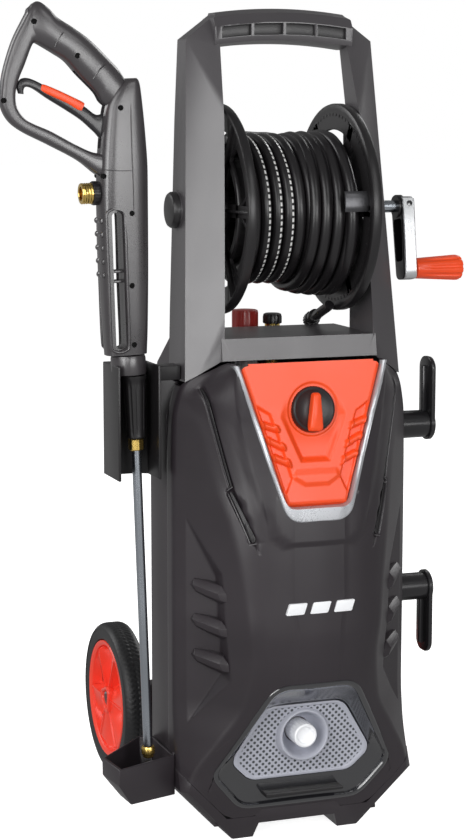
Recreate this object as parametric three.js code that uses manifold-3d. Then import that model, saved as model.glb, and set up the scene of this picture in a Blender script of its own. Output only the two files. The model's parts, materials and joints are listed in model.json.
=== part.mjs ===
// Upright electric pressure washer: a tall moulded body on two wheels and two feet, a handle frame
// that carries a hose reel, and a spray gun parked at the left side.
// Millimetres, +Z up, the front faces -Y, the machine's middle plane is X = 0 and the floor is Z = 0.
import * as THREE from 'three';
import { ConvexGeometry } from 'three/addons/geometries/ConvexGeometry.js';
import { mergeVertices } from 'three/addons/utils/BufferGeometryUtils.js';
import Module from 'manifold-3d';

const wasm = await Module();
wasm.setup();

// Origin: the bottom centre of the whole machine's box, in the machine's own coordinates.
const ORIGIN = { x: -47.35, y: -1.85, z: 0 };

// General
const GAP = 0.3;
const WALL = 4;

// Body
const SIDE_X = 135;
const SEAM_Y = -114;
const SHOULDER = [[135, 465], [130, 488], [123, 502], [88, 524]];
const LOW_EDGE = [[42, 34], [50, 26], [82, 26], [140, 88]];
const FEET = {
  inner: 50, outer: 74, gapX: 44.7, gapZ: 16.5, cornerZ: 62, frontY: -148, backY: -96,
  wideInner: 46, wideOuter: 92, top: 18
};
const TRAY = { low: 17, floorTop: 21, halfX: 95, backY: 150, wallTop: 60, cheekX: 60 };
const REAR = { x: 95, y: 72, top: 538, wall: 3.5, low: 62.3 };

// Each level of the front: height, then [x, y] of the centre, the ridge, the flank, the face's
// edge and the side corner.
const FRONT_LEVELS = [
  [0, [0, -150], [30, -150], [55, -150], [73, -150], [74, -148]],
  [62, [0, -168], [60, -168], [110, -166], [128, -163], [135, -156]],
  [80, [0, -174], [60, -172.5], [100, -170], [124, -166], [135, -148]],
  [120, [0, -191], [50, -190], [80, -187], [101, -181], [135, -136]],
  [162, [0, -206], [40, -204.5], [62, -201], [77, -196], [135, -132]],
  [211, [0, -217], [40, -215], [58, -212], [70, -207], [135, -132]],
  [242, [0, -220], [40, -217.5], [60, -214], [73, -209], [135, -132]],
  [279, [0, -219], [45, -216], [65, -211], [77, -205], [135, -132]],
  [321, [0, -217], [45, -214.5], [68, -208], [83, -199], [135, -132]],
  [362, [0, -214], [45, -212], [70, -204], [91, -188], [135, -132]],
  [402, [0, -210], [45, -208], [75, -196], [101, -172], [135, -132]],
  [459, [0, -203], [60, -200], [90, -184], [113.5, -158], [134, -132]],
  [484, [0, -200], [72, -197], [97, -181], [121, -146], [130, -134]],
  [502, [0, -198], [78, -195], [92, -183], [108, -152], [123, -138]],
  [524, [0, -195], [80, -192], [84, -186], [87, -170], [88, -158]]
];

// Handle frame: the column's corners at four heights, [x, y] of outer front, inner front,
// inner rear and outer rear.
const COLUMN_LEVELS = [
  [480, [124.2, -143.4], [86, -158], [86, -90], [124.2, -88]],
  [575, [119.5, -131.4], [84, -156], [84, -94], [119.5, -80]],
  [776, [109.5, -105.9], [77, -135], [77, -98], [109.5, -68]],
  [859, [105.4, -95.4], [72, -107], [72, -86], [105.4, -67]],
  [883.5, [73.7, -91], [60, -93], [60, -72], [73.7, -70]]
];
const DECK = { halfX: 88, top: 548, low: 525, frontTop: -156, frontLow: -160, backY: -40 };
const BAR = { halfX: 78, pocketX: 70.5, pocketLow: 859, pocketTop: 871, ribs: 3, rib: 3 };

// Reel
const REEL = {
  y: -90, z: 680.5, rimR: 112, plateIn: 64, plateOut: 68, rimOut: 74.5, bossX: 116, spokes: 6
};
const DRUM_R = 57;
const AXLE_R = 7;
const HOSE_R = 5.5;
const COUPLING_R = 9;
const COIL = { half: 63.4, low: 79.5, high: 98, stepX: 24 };
const CRANK = {
  x: 141, width: 15.5, depth: 30, reach: 69, tilt: 9, gripX: 157, gripLength: 56
};

// Wheels
const WHEEL = { r: 90, y: 126.3, inner: 103, outer: 136.4, rimR: 69, hubR: 17, arms: 6, axleR: 7.7 };

// Cord hooks, on the right side
const HOOK = { y: -86, upperZ: 436, lowerZ: 249, stubR: 15.5, pinR: 6, reach: 76, bladeX: 181, blade: 5 };

// Back of the body
const REAR_VENTS = { half: 42, z: 120, pitch: 16, high: 6, count: 6 };
const TANK = { capX: -3, capY: 2, neckR: 12, capR: 15, neckTop: 549 };
const OUTLET = { x: 30, y: 2, r: 9 };
const GLAND = { x: 60, z: 232, r: 8, boreR: 3.6 };

// Control panel: a slab that leans back by the tilt, from its lower edge
const PANEL = { y: -208.6, z: 366, tilt: 7.8, height: 158, topX: 68, lowX: 27, thick: 3 };
const DIAL = { up: 110, r: 24.7, behind: 6, before: 5 };

// Lower recess and its plate
// The recess's mouth on the face, [x, y, z], and the plate's outline at its floor, [x, z].
const MOUTH = [[45, -206, 181], [100, -177, 84], [98, -173, 74], [68, -161, 39]];
const PLATE = [[45, 152], [78, 98], [78, 88], [58, 68.5]];
const PLATE_LEAN = { lowY: -161, lowZ: 68, topY: -174, topZ: 152 };
const PLATE_THICK = 3.5;
const INLET = { z: 117, plugR: 13.5, bowlR: 26, frontY: -173.5, floorY: -152 };

// Motor and pump, inside the body
const MOTOR = { x: 0, y: -62, r: 58, low: 235, high: 425, ribs: 8, blades: 6 };

// Gun holder: a trough that is open to the front
const HOLDER = { x: -172, frontY: -138, backY: -90, half: 23.5, low: 400, high: 521, wall: 3 };

// Spray gun: its own frame has the origin at the nozzle's tip and +Z along the lance
const GUN = { x: -157.7, y: -115, z: 91.2, lean: -1.94 };
const TRIGGER_PIVOT = [6, 690];

const HALF_TURN = Math.PI;
const rad = THREE.MathUtils.degToRad;
const vec = (x, y, z) => new THREE.Vector3(x, y, z);

// ---------------------------------------------------------------- solids

function signedVolume(geometry) {
  const place = geometry.attributes.position;
  const index = geometry.index;
  const a = new THREE.Vector3();
  const b = new THREE.Vector3();
  const c = new THREE.Vector3();
  let sum = 0;
  for (let i = 0; i < index.count; i += 3) {
    a.fromBufferAttribute(place, index.getX(i));
    b.fromBufferAttribute(place, index.getX(i + 1));
    c.fromBufferAttribute(place, index.getX(i + 2));
    sum += a.dot(b.cross(c)) / 6;
  }
  return sum;
}

function solidOf(geometry) {
  const bare = geometry.clone();
  bare.deleteAttribute('normal');
  bare.deleteAttribute('uv');
  const merged = mergeVertices(bare, 1e-4);
  const triangles = new Uint32Array(merged.index.array);
  if (signedVolume(merged) < 0) {
    for (let i = 0; i < triangles.length; i += 3) {
      [triangles[i], triangles[i + 1]] = [triangles[i + 1], triangles[i]];
    }
  }
  return new wasm.Manifold(new wasm.Mesh({
    numProp: 3,
    vertProperties: merged.attributes.position.array,
    triVerts: triangles
  }));
}

function hull(points) {
  return solidOf(new ConvexGeometry(points));
}

// A body through a stack of convex sections, each a list of points.
function loft(sections) {
  let body = hull([...sections[0], ...sections[1]]);
  for (let i = 1; i + 1 < sections.length; i += 1) {
    body = body.add(hull([...sections[i], ...sections[i + 1]]));
  }
  return body;
}

function outline(points) {
  return new THREE.Shape(points.map(([a, b]) => new THREE.Vector2(a, b)));
}

const BASES = {
  x: new THREE.Matrix4().makeBasis(vec(0, 1, 0), vec(0, 0, 1), vec(1, 0, 0)),
  y: new THREE.Matrix4().makeBasis(vec(1, 0, 0), vec(0, 0, 1), vec(0, -1, 0)),
  z: new THREE.Matrix4()
};

// A flat shape pushed along an axis: its two coordinates are (y, z), (x, z) or (x, y).
function prism(axis, shape, from, to, curveSegments = 10) {
  const depth = to - from;
  const geometry = new THREE.ExtrudeGeometry(shape, { depth, bevelEnabled: false, curveSegments });
  geometry.translate(0, 0, axis === 'y' ? -to : from);
  geometry.applyMatrix4(BASES[axis]);
  return solidOf(geometry);
}

function box(x0, x1, y0, y1, z0, z1) {
  const geometry = new THREE.BoxGeometry(x1 - x0, y1 - y0, z1 - z0);
  geometry.translate((x0 + x1) / 2, (y0 + y1) / 2, (z0 + z1) / 2);
  return solidOf(geometry);
}

function rod(from, to, startR, endR = startR, sides = 24) {
  const along = to.clone().sub(from);
  const geometry = new THREE.CylinderGeometry(endR, startR, along.length(), sides);
  const turn = new THREE.Quaternion().setFromUnitVectors(vec(0, 1, 0), along.clone().normalize());
  geometry.applyQuaternion(turn);
  geometry.translate((from.x + to.x) / 2, (from.y + to.y) / 2, (from.z + to.z) / 2);
  return solidOf(geometry);
}

// A turned piece: the profile's points are [radius, distance along the direction].
function turned(profile, at, direction, sides = 32) {
  const points = profile.map(([radius, height]) => new THREE.Vector2(radius, height));
  const geometry = new THREE.LatheGeometry(points, sides);
  geometry.applyQuaternion(new THREE.Quaternion().setFromUnitVectors(vec(0, 1, 0), direction));
  geometry.translate(at.x, at.y, at.z);
  return solidOf(geometry);
}

function ring(inner, outer, low, high) {
  return [[inner, low], [outer, low], [outer, high], [inner, high], [inner, low]];
}

function tube(points, radius, steps, sides = 10) {
  const section = new THREE.Shape();
  section.absarc(0, 0, radius, 0, 2 * HALF_TURN, false);
  const extrudePath = new THREE.CatmullRomCurve3(points);
  const options = { steps, extrudePath, bevelEnabled: false, curveSegments: Math.round(sides / 2) };
  return solidOf(new THREE.ExtrudeGeometry(section, options));
}

function roundedShape(points, radius) {
  const shape = new THREE.Shape();
  const count = points.length;
  for (let i = 0; i < count; i += 1) {
    const before = new THREE.Vector2(...points[(i + count - 1) % count]);
    const corner = new THREE.Vector2(...points[i]);
    const after = new THREE.Vector2(...points[(i + 1) % count]);
    const start = corner.clone().add(before.sub(corner).setLength(radius));
    const end = corner.clone().add(after.sub(corner).setLength(radius));
    if (i === 0) {
      shape.moveTo(start.x, start.y);
    } else {
      shape.lineTo(start.x, start.y);
    }
    shape.quadraticCurveTo(corner.x, corner.y, end.x, end.y);
  }
  shape.closePath();
  return shape;
}

const mirrored = (points) => [...points, ...points.map(([x, v]) => [-x, v]).reverse()];

// ---------------------------------------------------------------- materials and nodes

const group = new THREE.Group();
group.position.set(-ORIGIN.x, -ORIGIN.y, -ORIGIN.z);

const FINISH = {
  shell: { color: 0x3a3739, roughness: 0.55, metalness: 0 },
  frame: { color: 0x47454a, roughness: 0.5, metalness: 0 },
  dark: { color: 0x1d1c1e, roughness: 0.5, metalness: 0 },
  gloss: { color: 0x141416, roughness: 0.15, metalness: 0 },
  orange: { color: 0xf2552c, roughness: 0.4, metalness: 0 },
  red: { color: 0xd93a28, roughness: 0.4, metalness: 0 },
  grey: { color: 0x8f959b, roughness: 0.55, metalness: 0 },
  silver: { color: 0x7f8286, roughness: 0.35, metalness: 0.2 },
  white: { color: 0xe4e6e8, roughness: 0.4, metalness: 0 },
  rubber: { color: 0x17171a, roughness: 0.85, metalness: 0 },
  steel: { color: 0x8b9097, roughness: 0.3, metalness: 1 },
  brass: { color: 0xc9a04a, roughness: 0.3, metalness: 1 },
  alloy: { color: 0xa3a6aa, roughness: 0.45, metalness: 1 }
};

function add(name, body, finish) {
  const { vertProperties, triVerts } = body.getMesh();
  const geometry = new THREE.BufferGeometry();
  geometry.setAttribute('position', new THREE.BufferAttribute(new Float32Array(vertProperties), 3));
  geometry.setIndex(new THREE.BufferAttribute(new Uint32Array(triVerts), 1));
  geometry.computeVertexNormals();
  const mesh = new THREE.Mesh(geometry, new THREE.MeshStandardMaterial(FINISH[finish]));
  mesh.name = name;
  group.add(mesh);
  return mesh;
}

// ---------------------------------------------------------------- body shells

function frontSection(level, inset, backY) {
  const [z, ...half] = level;
  const scale = (SIDE_X - inset) / SIDE_X;
  const right = half.map(([x, y]) => vec(x * scale, y + inset * 1.2, z));
  const left = right.map((p) => vec(-p.x, p.y, z));
  const corner = right[right.length - 1].x;
  return [...right, ...left, vec(corner, backY, z), vec(-corner, backY, z)];
}

function bodyFront(inset, backY) {
  return loft(FRONT_LEVELS.map((level) => frontSection(level, inset, backY)));
}

// The region of the front view that the front cover fills.
function coverZone(inset) {
  const top = SHOULDER.map(([x, z]) => [x - inset, z - inset]);
  const low = LOW_EDGE.map(([x, z]) => [x - inset, z + inset]);
  return outline(mirrored([...low, ...top]));
}

function ventSlots(side) {
  let slots = null;
  for (const z of [218, 262, 306]) {
    const slot = rod(vec(side * 88, -178, z), vec(side * 118, -141, z + 6), 5, 5, 8);
    const reach = hull([
      vec(side * 92, -196, z - 5), vec(side * 92, -196, z + 3),
      vec(side * 124, -160, z - 1), vec(side * 124, -160, z + 7),
      vec(side * 80, -186, z - 5), vec(side * 80, -186, z + 3),
      vec(side * 112, -138, z - 1), vec(side * 112, -138, z + 7)
    ]);
    const cut = slot.add(reach);
    slots = slots ? slots.add(cut) : cut;
  }
  return slots;
}

function faceSlot(side) {
  return hull([
    vec(side * 107, -170, 498), vec(side * 111, -170, 498), vec(side * 107, -120, 498),
    vec(side * 111, -120, 498), vec(side * 67, -220, 338), vec(side * 73, -220, 338),
    vec(side * 67, -190, 338), vec(side * 73, -190, 338)
  ]);
}

function panelPlane() {
  return new THREE.Matrix4().makeTranslation(0, PANEL.y, PANEL.z)
    .multiply(new THREE.Matrix4().makeRotationX(-rad(PANEL.tilt)));
}

// A shape in the panel's own plane (x, up), from a depth behind its face to a height before it.
function panelPrism(shape, behind, before, curveSegments = 4) {
  const depth = behind + before;
  const geometry = new THREE.ExtrudeGeometry(shape, { depth, bevelEnabled: false, curveSegments });
  geometry.translate(0, 0, -behind);
  geometry.applyMatrix4(BASES.y);
  geometry.applyMatrix4(panelPlane());
  return solidOf(geometry);
}

function panelShape(grow, extraTop = 0) {
  const halfTop = PANEL.topX + grow + extraTop * 0.26;
  const halfLow = PANEL.lowX + grow;
  const top = PANEL.height + extraTop;
  return roundedShape([[-halfLow, -grow], [halfLow, -grow], [halfTop, top], [-halfTop, top]], 12);
}

function plateY(z) {
  const t = (z - PLATE_LEAN.lowZ) / (PLATE_LEAN.topZ - PLATE_LEAN.lowZ);
  return PLATE_LEAN.lowY + t * (PLATE_LEAN.topY - PLATE_LEAN.lowY);
}

// The hollow of the recess: straight in from the front to the mouth, then narrowing to the plate.
function recessSpace(mouthInset, floorInset, floorShift) {
  const mouth = MOUTH.map(([x, y, z]) => [x - mouthInset, y, z > 100 ? z - mouthInset : z + mouthInset]);
  const both = mouth.flatMap(([x, y, z]) => [[x, y, z], [-x, y, z]]);
  const before = both.map(([x, , z]) => vec(x, -240, z));
  const rim = both.map(([x, y, z]) => vec(x, y, z));
  const floor = mirrored(PLATE.map(([x, z]) => [x - floorInset, z > 93 ? z - floorInset : z + floorInset]))
    .map(([x, z]) => vec(x, plateY(z) + floorShift, z));
  return hull([...before, ...rim]).add(hull([...rim, ...floor]));
}

// The block that the recess is let into, with a sloping back behind the plate.
function recessBlock(inset, behind) {
  const edge = MOUTH.map(([x, , z]) => [x - inset, z > 100 ? z - inset : z + inset]);
  return hull(mirrored(edge).flatMap(([x, z]) => [vec(x, -240, z), vec(x, plateY(z) + behind, z)]));
}

function frontCover() {
  const outer = bodyFront(0, SEAM_Y).intersect(prism('y', coverZone(0), -240, SEAM_Y));
  const cavity = bodyFront(WALL, SEAM_Y + 10).intersect(prism('y', coverZone(WALL), -240, SEAM_Y + 10));
  const deckWell = box(-83, 83, DECK.frontLow + 1, SEAM_Y + 1, 480, 530);
  let cover = outer.subtract(cavity).subtract(deckWell);
  cover = cover.subtract(panelPrism(panelShape(6, 14), 12, 40)).subtract(recessBlock(0, 20));
  for (const side of [-1, 1]) {
    cover = cover.subtract(ventSlots(side)).subtract(faceSlot(side));
  }
  return cover;
}

function baseTray() {
  const footing = [
    [FEET.gapX, FEET.gapZ], [FEET.inner, 0], [FEET.outer, 0], [SIDE_X, FEET.cornerZ], [SIDE_X, 100]
  ];
  const skirtOuter = bodyFront(0, SEAM_Y).intersect(prism('y', outline(mirrored(footing)), -240, SEAM_Y));
  const skirtInner = bodyFront(WALL, SEAM_Y + 10);
  const { low, floorTop, halfX, backY, wallTop, cheekX } = TRAY;
  const floorPlate = box(-halfX, halfX, -152, backY, low, floorTop);
  let tray = skirtOuter.subtract(skirtInner);
  tray = tray.subtract(prism('y', coverZone(-GAP), -240, SEAM_Y + 1));
  for (const side of [-1, 1]) {
    const foot = [FEET.frontY, FEET.backY].flatMap((y) => [
      vec(side * FEET.inner, y, 0), vec(side * FEET.outer, y, 0),
      vec(side * FEET.wideInner, y, FEET.top), vec(side * FEET.wideOuter, y, FEET.top)
    ]);
    tray = tray.add(hull(foot));
  }
  tray = tray.add(floorPlate);
  for (const side of [-1, 1]) {
    const wall = hull([halfX - WALL, halfX].flatMap((x) => [low, wallTop].flatMap((z) => [
      vec(side * x, -60, z), vec(side * x, backY, z)
    ])));
    const cheek = outline([[82, low], [backY, low], [148, 84], [138, 104], [115, 104], [100, 84]]);
    tray = tray.add(wall).add(prism('x', cheek, side > 0 ? cheekX : -halfX, side > 0 ? halfX : -cheekX));
  }
  tray = tray.add(box(-halfX, halfX, backY - WALL, backY, low, wallTop));
  for (const side of [-1, 1]) {
    const strip = [-116, -60].flatMap((y) => [
      vec(side * SIDE_X, y, FEET.cornerZ), vec(side * 92, y, low),
      vec(side * (SIDE_X - WALL), y, FEET.cornerZ), vec(side * 88, y, floorTop)
    ]);
    tray = tray.add(hull(strip));
  }
  const bore = rod(vec(-150, WHEEL.y, WHEEL.r), vec(150, WHEEL.y, WHEEL.r), WHEEL.axleR + GAP);
  return tray.subtract(bore).subtract(prism('y', coverZone(-GAP), -240, SEAM_Y + 1));
}

// One storey of the rear cover: a wide front strip and a narrow box behind it.
// low and high are [z, side x, narrow x, back y].
function rearStorey(low, high, inset) {
  const frontY = inset ? SEAM_Y - 10 : SEAM_Y + GAP;
  const wide = ([z, side, narrow]) => [
    [side - inset, frontY], [side - inset, -58 - inset * 0.4], [narrow - inset, -30 - inset * 0.4]
  ].flatMap(([x, y]) => [vec(x, y, z), vec(-x, y, z)]);
  const deep = ([z, , narrow, back]) => [
    [narrow - inset, -60], [narrow - inset, back - 18], [narrow - 15 - inset * 0.6, back - 3 - inset],
    [0, back - inset]
  ].flatMap(([x, y]) => [vec(x, y, z), vec(-x, y, z)]);
  return hull([...wide(low), ...wide(high)]).add(hull([...deep(low), ...deep(high)]));
}

function rearBody(inset, low, top) {
  const levels = [
    [low, SIDE_X, REAR.x, REAR.y],
    [465, SIDE_X, REAR.x, REAR.y],
    [502, 124, REAR.x - 3, REAR.y - 4],
    [top, 84, 80, REAR.y - 24]
  ];
  let body = rearStorey(levels[0], levels[1], inset);
  for (let i = 1; i + 1 < levels.length; i += 1) {
    body = body.add(rearStorey(levels[i], levels[i + 1], inset));
  }
  return body;
}

function rearCover() {
  let cover = rearBody(0, REAR.low, REAR.top).subtract(rearBody(REAR.wall, REAR.low - 10, REAR.top - WALL));
  cover = cover.subtract(box(-140, 140, SEAM_Y - 1, -84, 500, 560));
  for (let i = 0; i < REAR_VENTS.count; i += 1) {
    const z = REAR_VENTS.z + i * REAR_VENTS.pitch;
    cover = cover.subtract(box(-REAR_VENTS.half, REAR_VENTS.half, 50, 90, z, z + REAR_VENTS.high));
  }
  cover = cover.subtract(rod(vec(TANK.capX, TANK.capY, 480), vec(TANK.capX, TANK.capY, 560), TANK.neckR + 1));
  cover = cover.subtract(rod(vec(OUTLET.x, OUTLET.y, 480), vec(OUTLET.x, OUTLET.y, 560), OUTLET.r + GAP));
  cover = cover.subtract(rod(vec(GLAND.x, 40, GLAND.z), vec(GLAND.x, 100, GLAND.z), GLAND.r + GAP));
  for (const z of [HOOK.upperZ, HOOK.lowerZ]) {
    const pinHole = HOOK.pinR + GAP;
    cover = cover.subtract(rod(vec(110, HOOK.y, z), vec(150, HOOK.y, z), pinHole, pinHole, 10));
  }
  return cover;
}

// ---------------------------------------------------------------- handle frame

function columnBody(side) {
  const sections = COLUMN_LEVELS.map(([z, ...corners]) => corners.map(([x, y]) => vec(side * x, y, z)));
  return loft(sections);
}

function topBar() {
  const profile = outline([
    [-97, 850], [-108, 853], [-110, 858], [-110.5, 872], [-104, 882], [-92, 886.5],
    [-76, 886.5], [-68, 879], [-66, 862], [-70, 850]
  ]);
  let bar = prism('x', profile, -BAR.halfX, BAR.halfX);
  const cell = (2 * BAR.pocketX - BAR.ribs * BAR.rib) / (BAR.ribs + 1);
  for (let i = 0; i <= BAR.ribs; i += 1) {
    const start = -BAR.pocketX + i * (cell + BAR.rib);
    bar = bar.subtract(box(start, start + cell, -120, -84, BAR.pocketLow, BAR.pocketTop));
  }
  return bar.subtract(cornerWedge(-1)).subtract(cornerWedge(1));
}

// Outside the slanted corner between the column's shoulder and the bar's top.
function cornerWedge(side) {
  const corner = [[73.7, 884], [105.4, 859], [130, 859], [130, 900], [73.7, 900]];
  return prism('y', outline(corner.map(([x, z]) => [side * x, z])), -130, -50);
}

function deckBody() {
  const skin = outline([
    [DECK.frontLow, DECK.low], [DECK.frontTop, DECK.top], [DECK.backY, DECK.top], [DECK.backY, DECK.top - 6],
    [DECK.frontTop + 8, DECK.top - 6], [DECK.frontLow + 8, DECK.low]
  ]);
  return prism('x', skin, -DECK.halfX, DECK.halfX);
}

function handleFrame() {
  let frame = deckBody().add(topBar());
  for (const side of [-1, 1]) {
    const boss = rod(vec(side * 77.5, REEL.y, REEL.z), vec(side * REEL.bossX, REEL.y, REEL.z), 21, 20, 20);
    frame = frame.add(columnBody(side)).add(boss);
  }
  frame = frame.subtract(prism('y', coverZone(-GAP), -240, -20));
  return frame.subtract(rod(vec(-150, REEL.y, REEL.z), vec(150, REEL.y, REEL.z), AXLE_R + GAP));
}

// ---------------------------------------------------------------- control panel

function controlPanel() {
  const slab = panelPrism(panelShape(0), PANEL.thick, 0);
  const well = new THREE.Shape();
  well.absarc(0, DIAL.up, DIAL.r + 1, 0, 2 * HALF_TURN, false);
  return slab.subtract(panelPrism(well, PANEL.thick + 1, 1, 10));
}

function panelBezel() {
  const outer = panelPrism(panelShape(6 - GAP), 8, 4.5);
  const inner = panelPrism(panelShape(GAP, 10), 12, 12);
  return outer.subtract(inner);
}

function switchDial() {
  const disc = new THREE.Shape();
  disc.absarc(0, DIAL.up, DIAL.r, 0, 2 * HALF_TURN, false);
  return panelPrism(disc, DIAL.behind, DIAL.before, 10);
}

function dialPointer() {
  const { up, before } = DIAL;
  const shape = roundedShape([[-9, up - 21], [9, up - 21], [6, up + 17], [-6, up + 17]], 3);
  return panelPrism(shape, -before - GAP, before + 12);
}

function switchBody() {
  const { up, behind } = DIAL;
  const square = [[-22, up - 22], [22, up - 22], [22, up + 22], [-22, up + 22]];
  return panelPrism(outline(square), behind + 28, -behind - GAP);
}

// ---------------------------------------------------------------- water inlet

function recessTrim() {
  const block = recessBlock(GAP, 5).intersect(bodyFront(-0.6, SEAM_Y));
  const behindPlate = hull(mirrored(PLATE.map(([x, z]) => [x - 5, z > 93 ? z - 5 : z + 5]))
    .flatMap(([x, z]) => [vec(x, -230, z), vec(x, -120, z)]));
  const drain = box(-38, 38, -200, -120, 51, 55);
  return block.subtract(recessSpace(3, -GAP, -GAP)).subtract(behindPlate).subtract(drain);
}

function inletPlate() {
  const slab = hull(mirrored(PLATE).flatMap(([x, z]) => [
    vec(x, plateY(z) - 2 * GAP, z), vec(x, plateY(z) - PLATE_THICK, z)
  ]));
  const { bowlR, z, plugR, frontY, floorY } = INLET;
  const front = vec(0, frontY, z);
  const back = vec(0, floorY, z);
  const bowl = rod(back, front, plugR + 6, bowlR + 3);
  const hollow = rod(vec(0, floorY - 3, z), vec(0, frontY - 1, z), plugR + 4, bowlR);
  const bore = rod(vec(0, floorY + 1, z), vec(0, frontY, z), plugR);
  return slab.add(bowl).subtract(hollow).subtract(bore);
}

function inletParts() {
  const { z, plugR, floorY } = INLET;
  const axis = (y) => vec(0, y, z);
  const adapter = rod(axis(floorY - 6), axis(floorY + 34), plugR - 1);
  const bore = rod(axis(floorY - 7), axis(floorY + 20), 8);
  add('inlet_adapter', adapter.subtract(bore), 'dark');
  const head = rod(axis(floorY - 28), axis(floorY - 6 - GAP), plugR);
  const spigot = rod(axis(floorY - 7), axis(floorY - 2 - GAP), 7.5, 7.5, 16);
  add('inlet_plug', head.add(spigot), 'white');
}

// ---------------------------------------------------------------- motor and pump

function motorParts() {
  const { x, y } = MOTOR;
  const at = (z) => vec(x, y, z);
  let housing = rod(at(MOTOR.low), at(MOTOR.high), MOTOR.r, MOTOR.r, 24);
  for (let i = 0; i < MOTOR.ribs; i += 1) {
    const angle = (i / MOTOR.ribs) * 2 * HALF_TURN;
    const fin = new THREE.BoxGeometry(5, 3, MOTOR.high - MOTOR.low - 30);
    fin.translate(MOTOR.r + 1, 0, (MOTOR.high + MOTOR.low) / 2);
    fin.rotateZ(angle);
    fin.translate(x, y, 0);
    housing = housing.add(solidOf(fin));
  }
  housing = housing.subtract(rod(at(MOTOR.high - 30), at(MOTOR.high + 1), 7, 7, 16));
  add('motor', housing, 'alloy');
  let fan = rod(at(MOTOR.high - 29), at(MOTOR.high + 16), 6, 6, 12);
  fan = fan.add(rod(at(MOTOR.high + 3), at(MOTOR.high + 14), 16, 16, 12));
  for (let i = 0; i < MOTOR.blades; i += 1) {
    const blade = new THREE.BoxGeometry(40, 1.6, 10);
    blade.rotateX(0.5);
    blade.translate(32, 0, MOTOR.high + 9);
    blade.rotateZ((i / MOTOR.blades) * 2 * HALF_TURN);
    blade.translate(x, y, 0);
    fan = fan.add(solidOf(blade));
  }
  add('motor_fan', fan, 'dark');
  add('wobble_housing', rod(at(MOTOR.low - 45), at(MOTOR.low - GAP), 40, 50, 28), 'alloy');
  const headTop = MOTOR.low - 45 - GAP;
  const head = box(x - 40, x + 40, y - 40, y + 40, headTop - 62, headTop);
  const inletPort = rod(vec(x, y - 40, INLET.z + 12), vec(x, y - 20, INLET.z + 12), 9, 9, 16);
  add('pump_head', head.subtract(inletPort), 'alloy');
  const valve = rod(vec(x + 40 + GAP, y, headTop - 30), vec(x + 68, y, headTop - 30), 12, 12, 20);
  add('unloader_valve', valve, 'brass');
}

function pipes() {
  const { x, y } = MOTOR;
  const adapterBack = INLET.floorY + 34;
  const inlet = tube([
    vec(0, adapterBack + 2, INLET.z), vec(0, adapterBack + 8, INLET.z + 1),
    vec(x, y - 48, INLET.z + 11), vec(x, y - 42, INLET.z + 12)
  ], 7, 8);
  add('inlet_pipe', inlet, 'rubber');
  const valveZ = MOTOR.low - 45 - GAP - 30;
  const outlet = tube([
    vec(x + 72, y, valveZ), vec(x + 78, y + 1, valveZ + 2), vec(x + 82, y + 10, valveZ + 40),
    vec(x + 80, y + 20, 300), vec(76, y + 40, 400), vec(50, OUTLET.y - 4, 466), vec(OUTLET.x, OUTLET.y, 497)
  ], 5, 24, 8);
  add('outlet_pipe', outlet, 'rubber');
}

function tankParts() {
  const { capX, capY, neckR, capR, neckTop } = TANK;
  const body = hull([
    [-62, 14], [62, 14], [62, 56], [50, 64], [-50, 64], [-62, 56]
  ].flatMap(([x, y]) => [vec(x, y, 262), vec(x, y, 440)]));
  const shoulder = hull([
    [-62, 14], [62, 14], [62, 56], [50, 62], [-50, 62], [-62, 56]
  ].flatMap(([x, y]) => [vec(x, y, 439), vec(capX + (x - capX) * 0.2, capY + (y - 34) * 0.2, 505)]));
  const neck = rod(vec(capX, capY, 495), vec(capX, capY, neckTop), neckR, neckR, 20);
  add('detergent_tank', body.add(shoulder).add(neck), 'white');
  let cap = rod(vec(capX, capY, neckTop - 9), vec(capX, capY, neckTop + 14), capR, capR - 0.5, 20);
  const socketR = neckR + GAP;
  const socket = [vec(capX, capY, neckTop - 10), vec(capX, capY, neckTop + GAP)];
  cap = cap.subtract(rod(...socket, socketR, socketR, 20));
  add('tank_cap', cap, 'red');
  const outlet = rod(vec(OUTLET.x, OUTLET.y, 500 + GAP), vec(OUTLET.x, OUTLET.y, 546), OUTLET.r - GAP);
  add('outlet_coupling', outlet, 'brass');
  const outletCap = rod(vec(OUTLET.x, OUTLET.y, 546 + GAP), vec(OUTLET.x, OUTLET.y, 558), 11, 9.5, 20);
  add('outlet_cap', outletCap, 'dark');
  const through = (y) => vec(GLAND.x, REAR.y + y, GLAND.z);
  const gland = rod(through(-12), through(16), GLAND.r, GLAND.r - 1, 16);
  const bore = rod(through(-13), through(17), GLAND.boreR, GLAND.boreR, 12);
  add('cord_gland', gland.subtract(bore), 'rubber');
}

// ---------------------------------------------------------------- wheels

function wheelParts(side, label) {
  const { r, y, inner, outer, rimR, hubR, arms, axleR } = WHEEL;
  const width = outer - inner;
  const at = vec(side * inner, y, r);
  const out = vec(side, 0, 0);
  const tread = [
    [rimR + GAP, 1], [r - 6, 1], [r, 6], [r, width - 7], [r - 6, width - 2], [rimR + GAP, width - 2],
    [rimR + GAP, 1]
  ];
  add(`tyre_${label}`, turned(tread, at, out, 28), 'rubber');
  let rim = turned(ring(rimR - 6, rimR, 2, width - 3), at, out, 28);
  rim = rim.add(turned([[0, 2], [rimR - 4, 10], [rimR - 4, 16], [0, width - 2]], at, out, 28));
  for (let i = 0; i < arms; i += 1) {
    const turn = (i / arms) * 2 * HALF_TURN;
    const hole = prism('x', outline([[26, -8], [57, -16], [60, 13], [29, 8]]), -150, 150);
    rim = rim.subtract(hole.rotate([(turn * 180) / Math.PI, 0, 0]).translate([0, y, r]));
  }
  rim = rim.subtract(rod(vec(-150, y, r), vec(150, y, r), axleR + GAP));
  add(`rim_${label}`, rim, 'red');
  const capStart = width - 2 + GAP;
  const cap = [[0, capStart], [hubR, capStart], [hubR - 2, width], [0, width]];
  add(`hub_cap_${label}`, turned(cap, at, out, 24), 'dark');
}

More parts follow.
